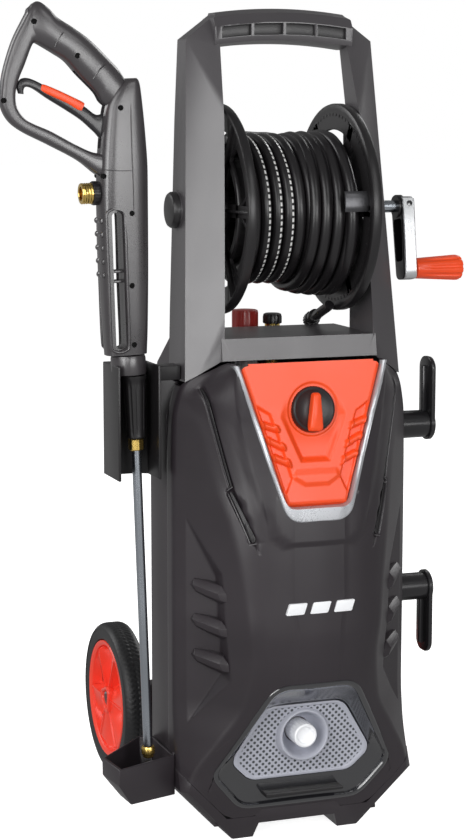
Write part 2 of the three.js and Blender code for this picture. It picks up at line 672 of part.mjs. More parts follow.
function wheelAxle() {
  const reach = WHEEL.outer - 2.5;
  const axle = rod(vec(-reach, WHEEL.y, WHEEL.r), vec(reach, WHEEL.y, WHEEL.r), WHEEL.axleR, WHEEL.axleR, 20);
  add('wheel_axle', axle, 'steel');
}

// ---------------------------------------------------------------- hose reel

function reelFlange(side) {
  const { y, z, rimR, plateIn, plateOut, rimOut, spokes } = REEL;
  const at = vec(0, y, z);
  const out = vec(side, 0, 0);
  let flange = turned(ring(AXLE_R + GAP, rimR, plateIn, plateOut), at, out, 30);
  flange = flange.add(turned(ring(rimR - 5, rimR, plateIn, rimOut), at, out, 30));
  flange = flange.add(turned(ring(AXLE_R + GAP, 26, plateIn, rimOut - 1), at, out, 18));
  for (let i = 0; i < spokes; i += 1) {
    const turn = ((i + 0.5) / spokes) * 360;
    const gap = prism('x', outline([[34, -7], [90, -40], [98, 0], [90, 40], [34, 7]]), -90, 90);
    flange = flange.subtract(gap.rotate([turn, 0, 0]).translate([0, y, z]));
  }
  return flange;
}

function reelParts() {
  const { y, z, plateIn } = REEL;
  const at = vec(0, y, z);
  const right = vec(1, 0, 0);
  add('reel_flange_left', reelFlange(-1), 'dark');
  add('reel_flange_right', reelFlange(1), 'dark');
  const half = plateIn - GAP;
  const drum = turned(ring(DRUM_R - 4, DRUM_R, -half, half), at, right, 28);
  const web = turned(ring(AXLE_R + GAP, DRUM_R - 2, -3, 3), at, right, 28);
  const hub = turned(ring(AXLE_R + GAP, 14, -half, half), at, right, 14);
  add('reel_drum', drum.add(web).add(hub), 'dark');
  const coil = [
    [DRUM_R + GAP, -COIL.half], [COIL.low, -COIL.half], [COIL.low, COIL.stepX], [COIL.high, COIL.stepX + 12],
    [COIL.high, COIL.half], [DRUM_R + GAP, COIL.half], [DRUM_R + GAP, -COIL.half]
  ];
  add('hose_coil', turned(coil, at, right, 28), 'rubber');
  const shaftR = AXLE_R - GAP;
  add('reel_axle', rod(vec(-REEL.bossX, y, z), vec(CRANK.x + 6, y, z), shaftR, shaftR, 20), 'steel');
  const capX = REEL.bossX + GAP;
  const cap = turned([[0, capX], [19.5, capX], [18, capX + 7], [0, capX + 9]], at, vec(-1, 0, 0), 20);
  add('reel_end_cap', cap, 'dark');
}

// A strap on the right flange that holds the outermost turn, at the front of the reel.
function hoseClip() {
  const { y, z, plateIn } = REEL;
  const strap = box(40, plateIn - GAP, -12, 12, COIL.high + 0.6, COIL.high + 3.4);
  return strap.rotate([84, 0, 0]).translate([0, y, z]);
}

// The crank is drawn hanging straight down from the axle, then turned with its foot forward.
function crankParts() {
  const { x, width, depth, reach, tilt, gripX, gripLength } = CRANK;
  const half = depth / 2;
  const place = (body) => body.rotate([-tilt, 0, 0]).translate([0, REEL.y, REEL.z]);
  const side = [[-half, 10], [half, 10], [half * 0.8, -reach - 12], [-half * 0.8, -reach - 12]];
  let arm = prism('x', roundedShape(side, 8), x, x + width, 3);
  arm = arm.subtract(box(x - 1, x + width - 3, -half + 3, half - 3, -reach + 8, -14));
  arm = arm.subtract(rod(vec(x - 1, 0, 0), vec(x + 6 + GAP, 0, 0), AXLE_R, AXLE_R, 20));
  arm = arm.subtract(rod(vec(x + 4, 0, -reach), vec(x + width + 1, 0, -reach), 3.6, 3.6, 16));
  add('crank_arm', place(arm), 'silver');
  const spindle = rod(vec(x + 5, 0, -reach), vec(gripX + gripLength - 8, 0, -reach), 3.3, 3.3, 16);
  add('crank_spindle', place(spindle), 'steel');
  const start = gripX + GAP;
  const end = gripX + gripLength;
  const grip = turned([
    [3.6, start], [11, start], [11.5, start + 4], [14, end - 6], [13, end], [0, end + 1], [0, end - 7],
    [3.6, end - 7], [3.6, start]
  ], vec(0, 0, -reach), vec(1, 0, 0), 16);
  add('crank_grip', place(grip), 'red');
}

// The hose's outer end: it leaves the wound turns at the bottom and lies behind the deck.
function hoseTail() {
  const route = [
    vec(56, -100, 572.8), vec(57, -80, 566.5), vec(60, -58, 560), vec(64, -40, 557), vec(67, -28, 553)
  ];
  const coupling = rod(vec(66.6, -29, 553.4), vec(71, -12, 549.5), COUPLING_R, COUPLING_R, 14);
  return tube(route, HOSE_R, 12, 8).add(coupling);
}

// ---------------------------------------------------------------- cord hooks

function cordHook(z, direction) {
  const { y, stubR, pinR, reach, bladeX, blade } = HOOK;
  const start = SIDE_X + GAP;
  const stub = rod(vec(start, y, z), vec(bladeX + 1, y, z), stubR, stubR, 18);
  const pin = rod(vec(SIDE_X - 10, y, z), vec(start + 1, y, z), pinR, pinR, 10);
  const leaf = prism('x', roundedShape([
    [y - 17, z - direction * 4], [y + 17, z - direction * 4], [y + 17, z + direction * (reach - 6)],
    [y - 9, z + direction * reach], [y - 17, z + direction * (reach - 10)]
  ], 4), bladeX, bladeX + blade, 2);
  const root = rod(vec(bladeX, y, z), vec(bladeX + blade, y, z), 17, 17, 20);
  return stub.add(pin).add(leaf).add(root);
}

// ---------------------------------------------------------------- lance cup and gun holder

function lanceCup() {
  const rim = [[-135.4, -139], [-207, -169], [-212, -122], [-150, -57], [-135.4, -60]];
  const foot = [[-135.4, -139], [-190, -156], [-192, -122], [-150, -70], [-135.4, -70]];
  const at = (list, z) => list.map(([x, y]) => vec(x, y, z));
  const outer = hull([...at(rim, 98), ...at(rim, 80), ...at(foot, 54)]);
  const pinch = ([x, y]) => [-166 + (x + 166) * 0.9, -112 + (y + 112) * 0.91];
  const inner = hull([...at(rim.map(pinch), 99), ...at(rim.map(pinch), 80), ...at(foot.map(pinch), 58)]);
  return outer.subtract(inner);
}

function gunHolder() {
  const { x, frontY, backY, half, low, high, wall } = HOLDER;
  const outer = hull([
    [x - half, frontY], [x + half, frontY], [x - half, backY + 8], [x + half, backY + 8],
    [x - half + 8, backY], [x + half - 8, backY]
  ].flatMap(([px, py]) => [vec(px, py, low), vec(px, py, high)]));
  const channel = hull([
    [x - half + wall, frontY - 5], [x + half - wall, frontY - 5], [x - half + wall, backY - wall - 6],
    [x + half - wall, backY - wall - 6], [x - half + 12, backY - wall], [x + half - 12, backY - wall]
  ].flatMap(([px, py]) => [vec(px, py, low - 1), vec(px, py, high + 1)]));
  const arm = box(x + half - 1, -123.6, -128, -106, 503.5, 519);
  return outer.subtract(channel).add(arm);
}

// ---------------------------------------------------------------- spray gun

// The gun is drawn in its own frame: u to the left (-X), w up along the lance.
const gunPlace = (body) => body.rotate([0, GUN.lean, 0]).translate([GUN.x, GUN.y, GUN.z]);
const flip = (points) => points.map(([u, w]) => [-u, w]);

function gunRod(u, w, from, to, radius, sides = 16) {
  return rod(vec(-u, from, w), vec(-u, to, w), radius, radius, sides);
}

function lanceRod(low, high, startR, endR, sides = 20) {
  return rod(vec(0, 0, low), vec(0, 0, high), startR, endR, sides);
}

const BARREL = [
  [-18, 441.3], [-25, 649], [-23, 687], [-18, 725], [-6, 727], [8, 712], [20, 693], [27, 664], [31, 640],
  [30, 620], [29, 587], [26, 520], [22, 509], [21, 441.3]
];
const GRIP = [
  [-6, 726], [-1, 732], [15, 751], [33, 768], [57, 784], [72, 796], [82, 805], [90, 800], [99, 788],
  [88, 763], [81, 761], [58, 749], [38, 730], [23, 710], [12, 695]
];
const GUARD = [
  [86, 803], [92, 798], [104, 782], [114, 758], [123, 728], [127, 711], [124, 698], [118, 686], [99, 672],
  [68, 656], [42, 643], [26, 634], [22, 648], [32, 652], [52, 658], [79, 672], [101, 689], [111, 702],
  [110, 716], [104, 739], [94, 759], [84, 763]
];
const TRIGGER = [
  [0, 684], [10, 682], [24, 668], [33, 680], [46, 692], [66, 703], [84, 713], [96, 719], [103, 717],
  [104, 723], [99, 730], [88, 729], [70, 722], [48, 712], [34, 702], [20, 697], [8, 697], [0, 695]
];

function gunShell(front) {
  const inside = front ? -GAP / 2 : GAP / 2;
  const layer = (points, depth) => (front
    ? prism('y', outline(flip(points)), -depth, inside)
    : prism('y', outline(flip(points)), inside, depth));
  let shell = layer(BARREL, 18).add(layer(GRIP, 16)).add(layer(GUARD, 7));
  const windowCut = new THREE.Shape();
  windowCut.absarc(-10.5, 588, 8.5, 0, HALF_TURN, false);
  windowCut.absarc(-8.5, 453, 7, HALF_TURN, 2 * HALF_TURN, false);
  shell = shell.subtract(prism('y', windowCut, -30, 30, 4));
  for (const w of [510, 531]) {
    const ribFrom = front ? -8 : GAP / 2;
    const ribTo = front ? -GAP / 2 : 8;
    shell = shell.add(box(-19, 2, ribFrom, ribTo, w, w + 3));
  }
  const slot = prism('y', outline(flip([
    [-9, 676], [-9, 704], [2, 716], [20, 722], [50, 745], [60, 690], [26, 655], [6, 676]
  ])), -5.2, 5.2);
  shell = shell.subtract(slot);
  shell = shell.subtract(gunRod(...TRIGGER_PIVOT, -13, 13, 2.7));
  shell = shell.subtract(lanceRod(600, 660, 9.3, 9.3, 16));
  shell = shell.subtract(rod(vec(-4, 0, 610), vec(-40, 0, 610), 6.3, 6.3, 16));
  for (const [u, w] of [[89, 786], [46, 750], [24, 632], [-5, 588], [-6, 526], [-4, 450]]) {
    shell = shell.subtract(gunRod(u, w, front ? -20 : 12, front ? -12 : 20, 2.6, 6));
  }
  return gunPlace(shell);
}

function gunParts() {
  add('gun_shell_front', gunShell(true), 'frame');
  add('gun_shell_rear', gunShell(false), 'frame');
  const [pivotU, pivotW] = TRIGGER_PIVOT;
  const lever = prism('y', outline(flip(TRIGGER)), -4.5, 4.5).subtract(gunRod(pivotU, pivotW, -6, 6, 2.7));
  add('trigger', gunPlace(lever), 'dark');
  add('trigger_pin', gunPlace(gunRod(pivotU, pivotW, -11, 11, 2.4)), 'steel');
  const pad = prism('y', outline(flip([
    [46, 711.6], [50, 718], [64, 724.5], [80, 731], [86, 731.5], [87, 729.1], [70, 722.4], [48, 712.4]
  ])), -6, 6);
  add('trigger_pad', gunPlace(pad), 'orange');
  const valve = lanceRod(601, 658, 9, 9, 16);
  const port = rod(vec(-8, 0, 610), vec(-29, 0, 610), 6, 6, 16);
  add('gun_valve', gunPlace(valve.add(port)), 'brass');
  const collar = rod(vec(-31.5, 0, 610), vec(-37, 0, 610), 12.5, 12.5, 24);
  add('inlet_collar', gunPlace(collar.subtract(rod(vec(-31, 0, 610), vec(-38, 0, 610), 8, 8, 16))), 'dark');
  const brass = rod(vec(-37.3, 0, 610), vec(-49, 0, 610), 11, 11, 24);
  const throat = rod(vec(-31.6, 0, 610), vec(-38, 0, 610), 7.6, 7.6, 16);
  const bore = rod(vec(-40, 0, 610), vec(-50, 0, 610), 7, 7, 16);
  add('hose_inlet', gunPlace(brass.add(throat).subtract(bore)), 'brass');
  add('lance_collar', gunPlace(lanceRod(419.3, 441, 18.5, 18.5, 28)), 'frame');
  add('lance_grip', gunPlace(lanceRod(351.3, 419, 10, 12.5, 20)), 'dark');
  add('lance_nut', gunPlace(lanceRod(338.3, 351, 8, 8, 6)), 'brass');
  add('lance_tube', gunPlace(lanceRod(13.3, 338, 5, 5, 14)), 'steel');
  add('lance_nozzle', gunPlace(lanceRod(0, 13, 5.5, 7.3, 16)), 'brass');
}

// ---------------------------------------------------------------- assembly

add('base_tray', baseTray(), 'shell');
add('front_cover', frontCover(), 'shell');
add('rear_cover', rearCover(), 'shell');
add('handle_frame', handleFrame(), 'frame');
add('control_panel', controlPanel(), 'orange');
add('panel_bezel', panelBezel(), 'silver');
add('switch_dial', switchDial(), 'dark');
add('dial_pointer', dialPointer(), 'orange');
add('switch_body', switchBody(), 'dark');
add('recess_trim', recessTrim(), 'gloss');
add('inlet_plate', inletPlate(), 'grey');
inletParts();
motorParts();
pipes();
tankParts();
wheelParts(-1, 'left');
wheelParts(1, 'right');
wheelAxle();
reelParts();
add('hose_clip', hoseClip(), 'grey');
crankParts();
add('hose_tail', hoseTail(), 'rubber');
add('cord_hook_upper', cordHook(HOOK.upperZ, 1), 'dark');
add('cord_hook_lower', cordHook(HOOK.lowerZ, -1), 'dark');
add('lance_cup', lanceCup(), 'shell');
add('gun_holder', gunHolder(), 'dark');
gunParts();

export default group;
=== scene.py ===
"""Looks of the wheeled pressure washer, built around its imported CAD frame.

Lengths in this script are machine millimetres: X is 0 on the body's middle plane, the front is -Y and the
floor is Z = 0. They are moved to the row frame, in metres, when a piece is made."""

import json
import math

import bmesh
import bpy
import numpy as np
from mathutils import Matrix, Vector

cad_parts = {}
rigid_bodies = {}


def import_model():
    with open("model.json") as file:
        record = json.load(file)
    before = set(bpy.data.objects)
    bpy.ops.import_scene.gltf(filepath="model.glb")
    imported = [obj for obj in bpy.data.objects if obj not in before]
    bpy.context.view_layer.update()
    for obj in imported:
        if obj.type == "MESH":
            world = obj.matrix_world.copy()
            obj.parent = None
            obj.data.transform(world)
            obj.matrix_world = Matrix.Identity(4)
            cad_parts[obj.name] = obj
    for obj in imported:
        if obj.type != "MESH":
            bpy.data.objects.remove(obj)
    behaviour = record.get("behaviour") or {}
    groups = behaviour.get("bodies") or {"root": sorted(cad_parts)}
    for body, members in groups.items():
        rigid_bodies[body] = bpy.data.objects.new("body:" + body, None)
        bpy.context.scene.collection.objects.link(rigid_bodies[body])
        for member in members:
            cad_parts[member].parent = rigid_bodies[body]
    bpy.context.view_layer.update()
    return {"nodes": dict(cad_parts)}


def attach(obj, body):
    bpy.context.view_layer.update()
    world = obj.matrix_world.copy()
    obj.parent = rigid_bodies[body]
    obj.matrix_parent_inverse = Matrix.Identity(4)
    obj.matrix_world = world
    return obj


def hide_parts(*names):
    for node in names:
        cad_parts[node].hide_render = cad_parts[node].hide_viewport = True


for startup in list(bpy.data.objects):
    bpy.data.objects.remove(startup)
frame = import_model()

ORIGIN = (-47.35, -1.85, 0.0)
SEAM_Y = -114.0
PANEL = dict(y=-207.4, z=375.0, tilt=7.8, height=149.0, top=80.0, low=34.0)
DIAL_UP = 101.0
REEL = Vector((0, -90, 680.5))
WHEEL = dict(r=90.0, y=126.3, inner=103.0, outer=136.4)
GUN = dict(x=-157.7, y=-115.0, z=91.2, lean=-1.94)
CAMERA = dict(lens=88.85, target=(0.02977, 0.00185, 0.43774), back=(-0.33903, -0.92949, 0.14530),
              distance=2.35245)


def row(p):
    return Vector(((p[0] - ORIGIN[0]) / 1000, (p[1] - ORIGIN[1]) / 1000, (p[2] - ORIGIN[2]) / 1000))


# ---------------------------------------------------------------- materials

def nodes_of(material):
    material.use_nodes = True
    tree = material.node_tree
    tree.nodes.clear()
    return tree


def ramp(tree, source, low, high, dark=0.0, light=1.0):
    node = tree.nodes.new("ShaderNodeMapRange")
    node.inputs["From Min"].default_value = low
    node.inputs["From Max"].default_value = high
    node.inputs["To Min"].default_value = dark
    node.inputs["To Max"].default_value = light
    tree.links.new(source, node.inputs["Value"])
    return node.outputs["Result"]


def maths(tree, operation, first, second):
    """A Math node between two values, each a socket or a number."""
    node = tree.nodes.new("ShaderNodeMath")
    node.operation = operation
    for socket, value in zip(node.inputs, (first, second)):
        if isinstance(value, bpy.types.NodeSocket):
            tree.links.new(value, socket)
        else:
            socket.default_value = value
    return node.outputs[0]


def noise(tree, place, scale, detail=4.0, stretch=None):
    if stretch:
        mapping = tree.nodes.new("ShaderNodeMapping")
        mapping.inputs["Scale"].default_value = stretch
        tree.links.new(place, mapping.inputs["Vector"])
        place = mapping.outputs["Vector"]
    node = tree.nodes.new("ShaderNodeTexNoise")
    node.inputs["Scale"].default_value = scale
    node.inputs["Detail"].default_value = detail
    tree.links.new(place, node.inputs["Vector"])
    return node.outputs["Fac"]


def mix_colour(tree, factor, first, second):
    node = tree.nodes.new("ShaderNodeMix")
    node.data_type = "RGBA"
    tree.links.new(factor, node.inputs["Factor"])
    for socket, value in ((node.inputs[6], first), (node.inputs[7], second)):
        if isinstance(value, bpy.types.NodeSocket):
            tree.links.new(value, socket)
        else:
            socket.default_value = (*value, 1.0)
    return node.outputs[2]


def surface(name, colour, rough, vary=0.12, grain=900.0, bump=0.06, metal=0.0, painted_edge_highlight=0.25,
            coat=0.0, spread=0.06, specular=0.5, stretch=None, marks=None):
    """A moulded or machined surface: broad colour drift, fine grain, uneven gloss and paler sharp edges that
    are a painted highlight.
    """
    material = bpy.data.materials.new(name)
    tree = nodes_of(material)
    out = tree.nodes.new("ShaderNodeOutputMaterial")
    shader = tree.nodes.new("ShaderNodeBsdfPrincipled")
    tree.links.new(shader.outputs[0], out.inputs[0])
    place = tree.nodes.new("ShaderNodeTexCoord").outputs["Object"]
    drift = noise(tree, place, 7.0, 5.0)
    speckle = noise(tree, place, grain, 2.0, stretch)
    dark = tuple(c * (1 - vary) for c in colour)
    light = tuple(min(1.0, c * (1 + vary)) for c in colour)
    base = mix_colour(tree, ramp(tree, drift, 0.3, 0.7), dark, light)
    # Paler colour on sharp edges, found by pointiness: a painted highlight along the edges.
    edge_highlight_colour = tuple(min(1.0, c * 1.35 + 0.02) for c in colour)
    geometry = tree.nodes.new("ShaderNodeNewGeometry")
    edge = ramp(tree, geometry.outputs["Pointiness"], 0.53, 0.62, 0.0, painted_edge_highlight)
    base = mix_colour(tree, edge, base, edge_highlight_colour)
    if marks:
        base = marks(tree, base)
    tree.links.new(base, shader.inputs["Base Color"])
    gloss = maths(tree, "ADD", ramp(tree, drift, 0.3, 0.7, rough - spread, rough + spread),
                  ramp(tree, speckle, 0.3, 0.7, -spread * 0.4, spread * 0.4))
    tree.links.new(gloss, shader.inputs["Roughness"])
    relief = tree.nodes.new("ShaderNodeBump")
    relief.inputs["Strength"].default_value = bump
    relief.inputs["Distance"].default_value = 0.0004
    tree.links.new(speckle, relief.inputs["Height"])
    tree.links.new(relief.outputs["Normal"], shader.inputs["Normal"])
    shader.inputs["Metallic"].default_value = metal
    shader.inputs["Specular IOR Level"].default_value = specular
    shader.inputs["Coat Weight"].default_value = coat
    shader.inputs["Coat Roughness"].default_value = 0.12
    return material


def hose_marks(tree, base):
    """Plain pale dashes along one line of the hose: u is the angle round it, v the length along it."""
    wrap = tree.nodes.new("ShaderNodeUVMap")
    wrap.uv_map = "wrap"
    split = tree.nodes.new("ShaderNodeSeparateXYZ")
    tree.links.new(wrap.outputs[0], split.inputs[0])

    def band(source, low, high, soft):
        return maths(tree, "MULTIPLY", ramp(tree, source, low - soft, low, 0, 1),
                     ramp(tree, source, high, high + soft, 1, 0))

    around, along = split.outputs[0], split.outputs[1]
    dash = band(maths(tree, "MODULO", along, 0.0062), 0.0012, 0.0044, 0.0006)
    line = maths(tree, "MULTIPLY", band(around, 0.03, 0.085, 0.01), dash)
    line = maths(tree, "MULTIPLY", line, band(along, 6.0, 7.6, 0.01))
    return mix_colour(tree, line, base, (0.78, 0.78, 0.76))


def dots_marks(tree, base):
    """Rows of small dark dots, as moulded into the inlet plate."""
    place = tree.nodes.new("ShaderNodeTexCoord").outputs["Object"]
    node = tree.nodes.new("ShaderNodeTexVoronoi")
    node.inputs["Scale"].default_value = 190.0
    node.inputs["Randomness"].default_value = 0.0
    flat = tree.nodes.new("ShaderNodeMapping")
    flat.inputs["Scale"].default_value = (1.0, 0.0, 1.0)
    flat.inputs["Rotation"].default_value = (0, math.pi / 4, 0)
    tree.links.new(place, flat.inputs["Vector"])
    tree.links.new(flat.outputs["Vector"], node.inputs["Vector"])
    dot = ramp(tree, node.outputs["Distance"], 0.25, 0.36, 1.0, 0.0)
    inside = tree.nodes.new("ShaderNodeVertexColor")
    inside.layer_name = "dotted"
    inlaid = maths(tree, "MULTIPLY", dot, inside.outputs["Color"])
    return mix_colour(tree, inlaid, base, (0.05, 0.055, 0.06))


MATERIALS = {
    "shell": surface("shell_plastic", (0.025, 0.020, 0.024), 0.40, bump=0.08),
    "frame": surface("frame_plastic", (0.044, 0.040, 0.044), 0.34, bump=0.06, specular=1.0),
    "dark": surface("dark_plastic", (0.012, 0.011, 0.012), 0.34, bump=0.06),
    "gloss": surface("gloss_plastic", (0.016, 0.016, 0.019), 0.12, bump=0.01, coat=1.0, spread=0.03,
                     specular=1.0),
    "orange": surface("orange_plastic", (0.92, 0.078, 0.012), 0.34, vary=0.05, bump=0.03, painted_edge_highlight=0.12),
    "red": surface("red_plastic", (0.98, 0.060, 0.030), 0.34, vary=0.06, bump=0.03, painted_edge_highlight=0.35),
    "grey": surface("grey_plastic", (0.42, 0.43, 0.49), 0.36, vary=0.05, bump=0.04, marks=dots_marks),
    "silver": surface("silver_paint", (0.42, 0.43, 0.45), 0.30, vary=0.06, metal=0.5, bump=0.02, coat=0.2),
    "white": surface("white_plastic", (0.93, 0.94, 0.96), 0.35, vary=0.04, bump=0.03),
    "rubber": surface("hose_rubber", (0.010, 0.009, 0.010), 0.30, bump=0.05, marks=hose_marks),
    "tyre": surface("tyre_rubber", (0.013, 0.013, 0.014), 0.52, bump=0.25, grain=500.0),
    "steel": surface("steel", (0.42, 0.45, 0.49), 0.24, vary=0.10, metal=1.0, bump=0.02, stretch=(8, 8, 0.4)),
    "brass": surface("brass", (0.83, 0.58, 0.17), 0.25, vary=0.08, metal=1.0, bump=0.03),
    "alloy": surface("cast_alloy", (0.55, 0.56, 0.58), 0.48, vary=0.08, metal=1.0, bump=0.3, grain=350.0),
    "alloy_dark": surface("clip_steel", (0.075, 0.075, 0.08), 0.30, metal=0.7, bump=0.03),
    "brushed": surface("brushed_plate", (0.62, 0.63, 0.64), 0.33, metal=0.85, bump=0.05,
                       stretch=(1, 1, 0.05)),
    "satin": surface("satin_black", (0.020, 0.019, 0.021), 0.24, bump=0.03, spread=0.05),
    "gun": surface("gun_plastic", (0.038, 0.034, 0.037), 0.29, bump=0.05, specular=1.0),
    # A darker copy of the red plastic for the tank cap: painted shade.
    "cap": surface("red_plastic_painted_shade", (0.30, 0.016, 0.012), 0.30, bump=0.03),
    "pit": surface("screw_black", (0.004, 0.004, 0.004), 0.6, bump=0.05, specular=0.1),
}


# ---------------------------------------------------------------- meshes

def mesh_from(points, faces):
    bm = bmesh.new()
    verts = [bm.verts.new(p) for p in points]
    for f in faces:
        corner = [verts[i] for i in f]
        if len(set(corner)) > 2:
            try:
                bm.faces.new(corner)
            except ValueError:
                pass
    bm.normal_update()
    return bm


def copy_of(node):
    """A CAD node's own shape in machine millimetres, as a start for a finer piece."""
    bm = bmesh.new()
    bm.from_mesh(frame["nodes"][node].data)
    for v in bm.verts:
        v.co = Vector((v.co.x * 1000 + ORIGIN[0], v.co.y * 1000 + ORIGIN[1], v.co.z * 1000 + ORIGIN[2]))
    bmesh.ops.remove_doubles(bm, verts=bm.verts, dist=0.02)
    bmesh.ops.dissolve_limit(bm, angle_limit=math.radians(1.0), verts=bm.verts, edges=bm.edges)
    return bm


def soften(bm, width, segments=2, angle=28.0, choose=None):
    sharp = [e for e in bm.edges if len(e.link_faces) == 2 and e.calc_face_angle(0) > math.radians(angle)]
    if choose:
        sharp = [e for e in sharp if choose((e.verts[0].co + e.verts[1].co) / 2)]
    bmesh.ops.bevel(bm, geom=sharp, offset=width, offset_type="OFFSET", segments=segments, profile=0.5,
                    affect="EDGES", clamp_overlap=True)
    return bm


def hull(points):
    bm = bmesh.new()
    for p in points:
        bm.verts.new(p)
    made = bmesh.ops.convex_hull(bm, input=bm.verts)
    inner = [g for g in made["geom_interior"] if isinstance(g, bmesh.types.BMVert)]
    bmesh.ops.delete(bm, geom=inner, context="VERTS")
    bmesh.ops.dissolve_limit(bm, angle_limit=math.radians(0.5), verts=bm.verts, edges=bm.edges)
    bmesh.ops.recalc_face_normals(bm, faces=bm.faces)
    return bm


def box(x0, x1, y0, y1, z0, z1):
    return hull([(x, y, z) for x in (x0, x1) for y in (y0, y1) for z in (z0, z1)])


def prism(axis, outline, low, high):
    """A closed outline pushed along an axis; its coordinates are (y, z), (x, z) or (x, y)."""
    place = {"x": lambda a, b, d: (d, a, b), "y": lambda a, b, d: (a, d, b), "z": lambda a, b,
             d: (a, b, d)}[axis]
    n = len(outline)
    points = [place(a, b, low) for a, b in outline] + [place(a, b, high) for a, b in outline]
    faces = [tuple(range(n)), tuple(range(2 * n - 1, n - 1, -1))]
    faces += [(i, (i + 1) % n, n + (i + 1) % n, n + i) for i in range(n)]
    bm = mesh_from(points, faces)
    bmesh.ops.recalc_face_normals(bm, faces=bm.faces)
    return bm


def join(*parts):
    whole = bmesh.new()
    for part in parts:
        mesh = bpy.data.meshes.new("join")
        part.to_mesh(mesh)
        whole.from_mesh(mesh)
        bpy.data.meshes.remove(mesh)
    return whole


def combine(bm, other, operation="DIFFERENCE"):
    pair = []
    for part in (bm, other):
        mesh = bpy.data.meshes.new("combine")
        part.to_mesh(mesh)
        obj = bpy.data.objects.new("combine", mesh)
        bpy.context.scene.collection.objects.link(obj)
        pair.append(obj)
    modifier = pair[0].modifiers.new("combine", "BOOLEAN")
    modifier.operation = operation
    modifier.object = pair[1]
    modifier.solver = "EXACT"
    result = bmesh.new()
    result.from_object(pair[0], bpy.context.evaluated_depsgraph_get())
    for obj in pair:
        mesh = obj.data
        bpy.data.objects.remove(obj)
        bpy.data.meshes.remove(mesh)
    bmesh.ops.remove_doubles(result, verts=result.verts, dist=0.001)
    return result


def skin(rings, closed=True, capped=True):
    """A surface through rings of points that all have the same count."""
    n = len(rings[0])
    points = [p for ring in rings for p in ring]
    faces = []
    for k in range(len(rings) - 1):
        for i in range(n if closed else n - 1):
            j = (i + 1) % n
            faces.append((k * n + i, k * n + j, (k + 1) * n + j, (k + 1) * n + i))
    if capped:
        faces.append(tuple(range(n)))
        faces.append(tuple(len(points) - 1 - i for i in range(n)))
    bm = mesh_from(points, faces)
    bmesh.ops.recalc_face_normals(bm, faces=bm.faces)
    return bm


def frame_of(direction):
    d = Vector(direction).normalized()
    side = d.cross(Vector((0, 0, 1)) if abs(d.z) < 0.9 else Vector((0, 1, 0))).normalized()
    return side, d.cross(side).normalized(), d


def turned_rings(profile, at, direction, sides, radius=None):
    """One ring of points about the axis for each [radius, distance] of a profile."""
    side, up, d = frame_of(direction)
    at = Vector(at)
    rings = []
    for r, along in profile:
        turn = []
        for i in range(sides):
            a = 2 * math.pi * i / sides
            rr = radius(r, along, a) if radius else r
            turn.append(at + d * along + side * (rr * math.cos(a)) + up * (rr * math.sin(a)))
        rings.append(turn)
    return rings


def lathe(profile, at, direction, sides=64, radius=None):
    """Turns [radius, distance] points about an axis; radius(r, distance, angle) may vary it round the turn."""
    return skin(turned_rings(profile, at, direction, sides, radius))


def ring_lathe(profile, at, direction, sides=64, radius=None):
    """Like lathe, for a closed profile that keeps off the axis."""
    sections = list(zip(*turned_rings(profile, at, direction, sides, radius)))
    bm = skin(sections + sections[:1], capped=False)
    bmesh.ops.remove_doubles(bm, verts=bm.verts, dist=0.0005)
    bmesh.ops.recalc_face_normals(bm, faces=bm.faces)
    return bm


def grooves(count, depth, where):
    """A radius rule for lathe: grooves of one depth round the turn, where where(radius, distance) allows."""
    return lambda r, along, angle: r - (depth if math.cos(angle * count) < 0 and where(r, along) else 0)


def rounded(points, radius, steps=5):
    """A closed outline with its corners rounded; radius is one number or one for each corner."""
    n = len(points)
    radii = radius if hasattr(radius, "__len__") else [radius] * n
    out = []
    for i in range(n):
        p, a, b = Vector(points[i]), Vector(points[i - 1]), Vector(points[(i + 1) % n])
        r = min(radii[i], (a - p).length * 0.48, (b - p).length * 0.48)
        if r < 0.01:
            out.append(tuple(p))
            continue
        start, end = p + (a - p).normalized() * r, p + (b - p).normalized() * r
        for k in range(steps + 1):
            t = k / steps
            out.append(tuple(start * (1 - t) ** 2 + p * (2 * t * (1 - t)) + end * t * t))
    return out


def curve_through(points, count):
    """Evenly spaced points on a smooth curve through the given ones."""
    p = [Vector(q) for q in points]
    p = [p[0] * 2 - p[1]] + p + [p[-1] * 2 - p[-2]]
    dense = []
    for i in range(1, len(p) - 2):
        for k in range(24):
            t = k / 24
            a, b, c, d = p[i - 1], p[i], p[i + 1], p[i + 2]
            dense.append(0.5 * ((2 * b) + (c - a) * t + (2 * a - 5 * b + 4 * c - d) * t * t
                                + (3 * b - a - 3 * c + d) * t ** 3))
    dense.append(p[-2])
    length = [0.0]
    for a, b in zip(dense, dense[1:]):
        length.append(length[-1] + (b - a).length)
    out, k = [], 0
    for i in range(count):
        s = length[-1] * i / (count - 1)
        while k < len(length) - 2 and length[k + 1] < s:
            k += 1
        span = length[k + 1] - length[k]
        out.append(dense[k].lerp(dense[k + 1], 0 if span < 1e-9 else (s - length[k]) / span))
    return out


def sweep(path, section, up=(0, 1, 0), closed=False):
    """Carries a section along a path; section(i, t) gives its (across, up) points."""
    n = len(path)
    rings = []
    for i, p in enumerate(path):
        ahead = path[(i + 1) % n] if closed or i < n - 1 else path[i]
        behind = path[i - 1] if closed or i > 0 else path[i]
        d = (ahead - behind).normalized()
        u = Vector(up)
        side = d.cross(u).normalized()
        rise = side.cross(d).normalized()
        rings.append([p + side * a + rise * b for a, b in section(i, i / (n - 1))])
    if closed:
        rings.append(rings[0])
    bm = skin(rings, capped=not closed)
    if closed:
        bmesh.ops.remove_doubles(bm, verts=bm.verts, dist=0.0005)
        bmesh.ops.recalc_face_normals(bm, faces=bm.faces)
    return bm


def circle(radius, sides=16):
    return [(radius * math.cos(2 * math.pi * i / sides), radius * math.sin(2 * math.pi * i / sides))
            for i in range(sides)]


def transform(bm, matrix):
    bmesh.ops.transform(bm, matrix=matrix, verts=bm.verts)
    return bm


def about_x(bm, degrees, y, z):
    move = Matrix.Translation((0, y, z))
    return transform(bm, move @ Matrix.Rotation(math.radians(degrees), 4, "X") @ move.inverted())


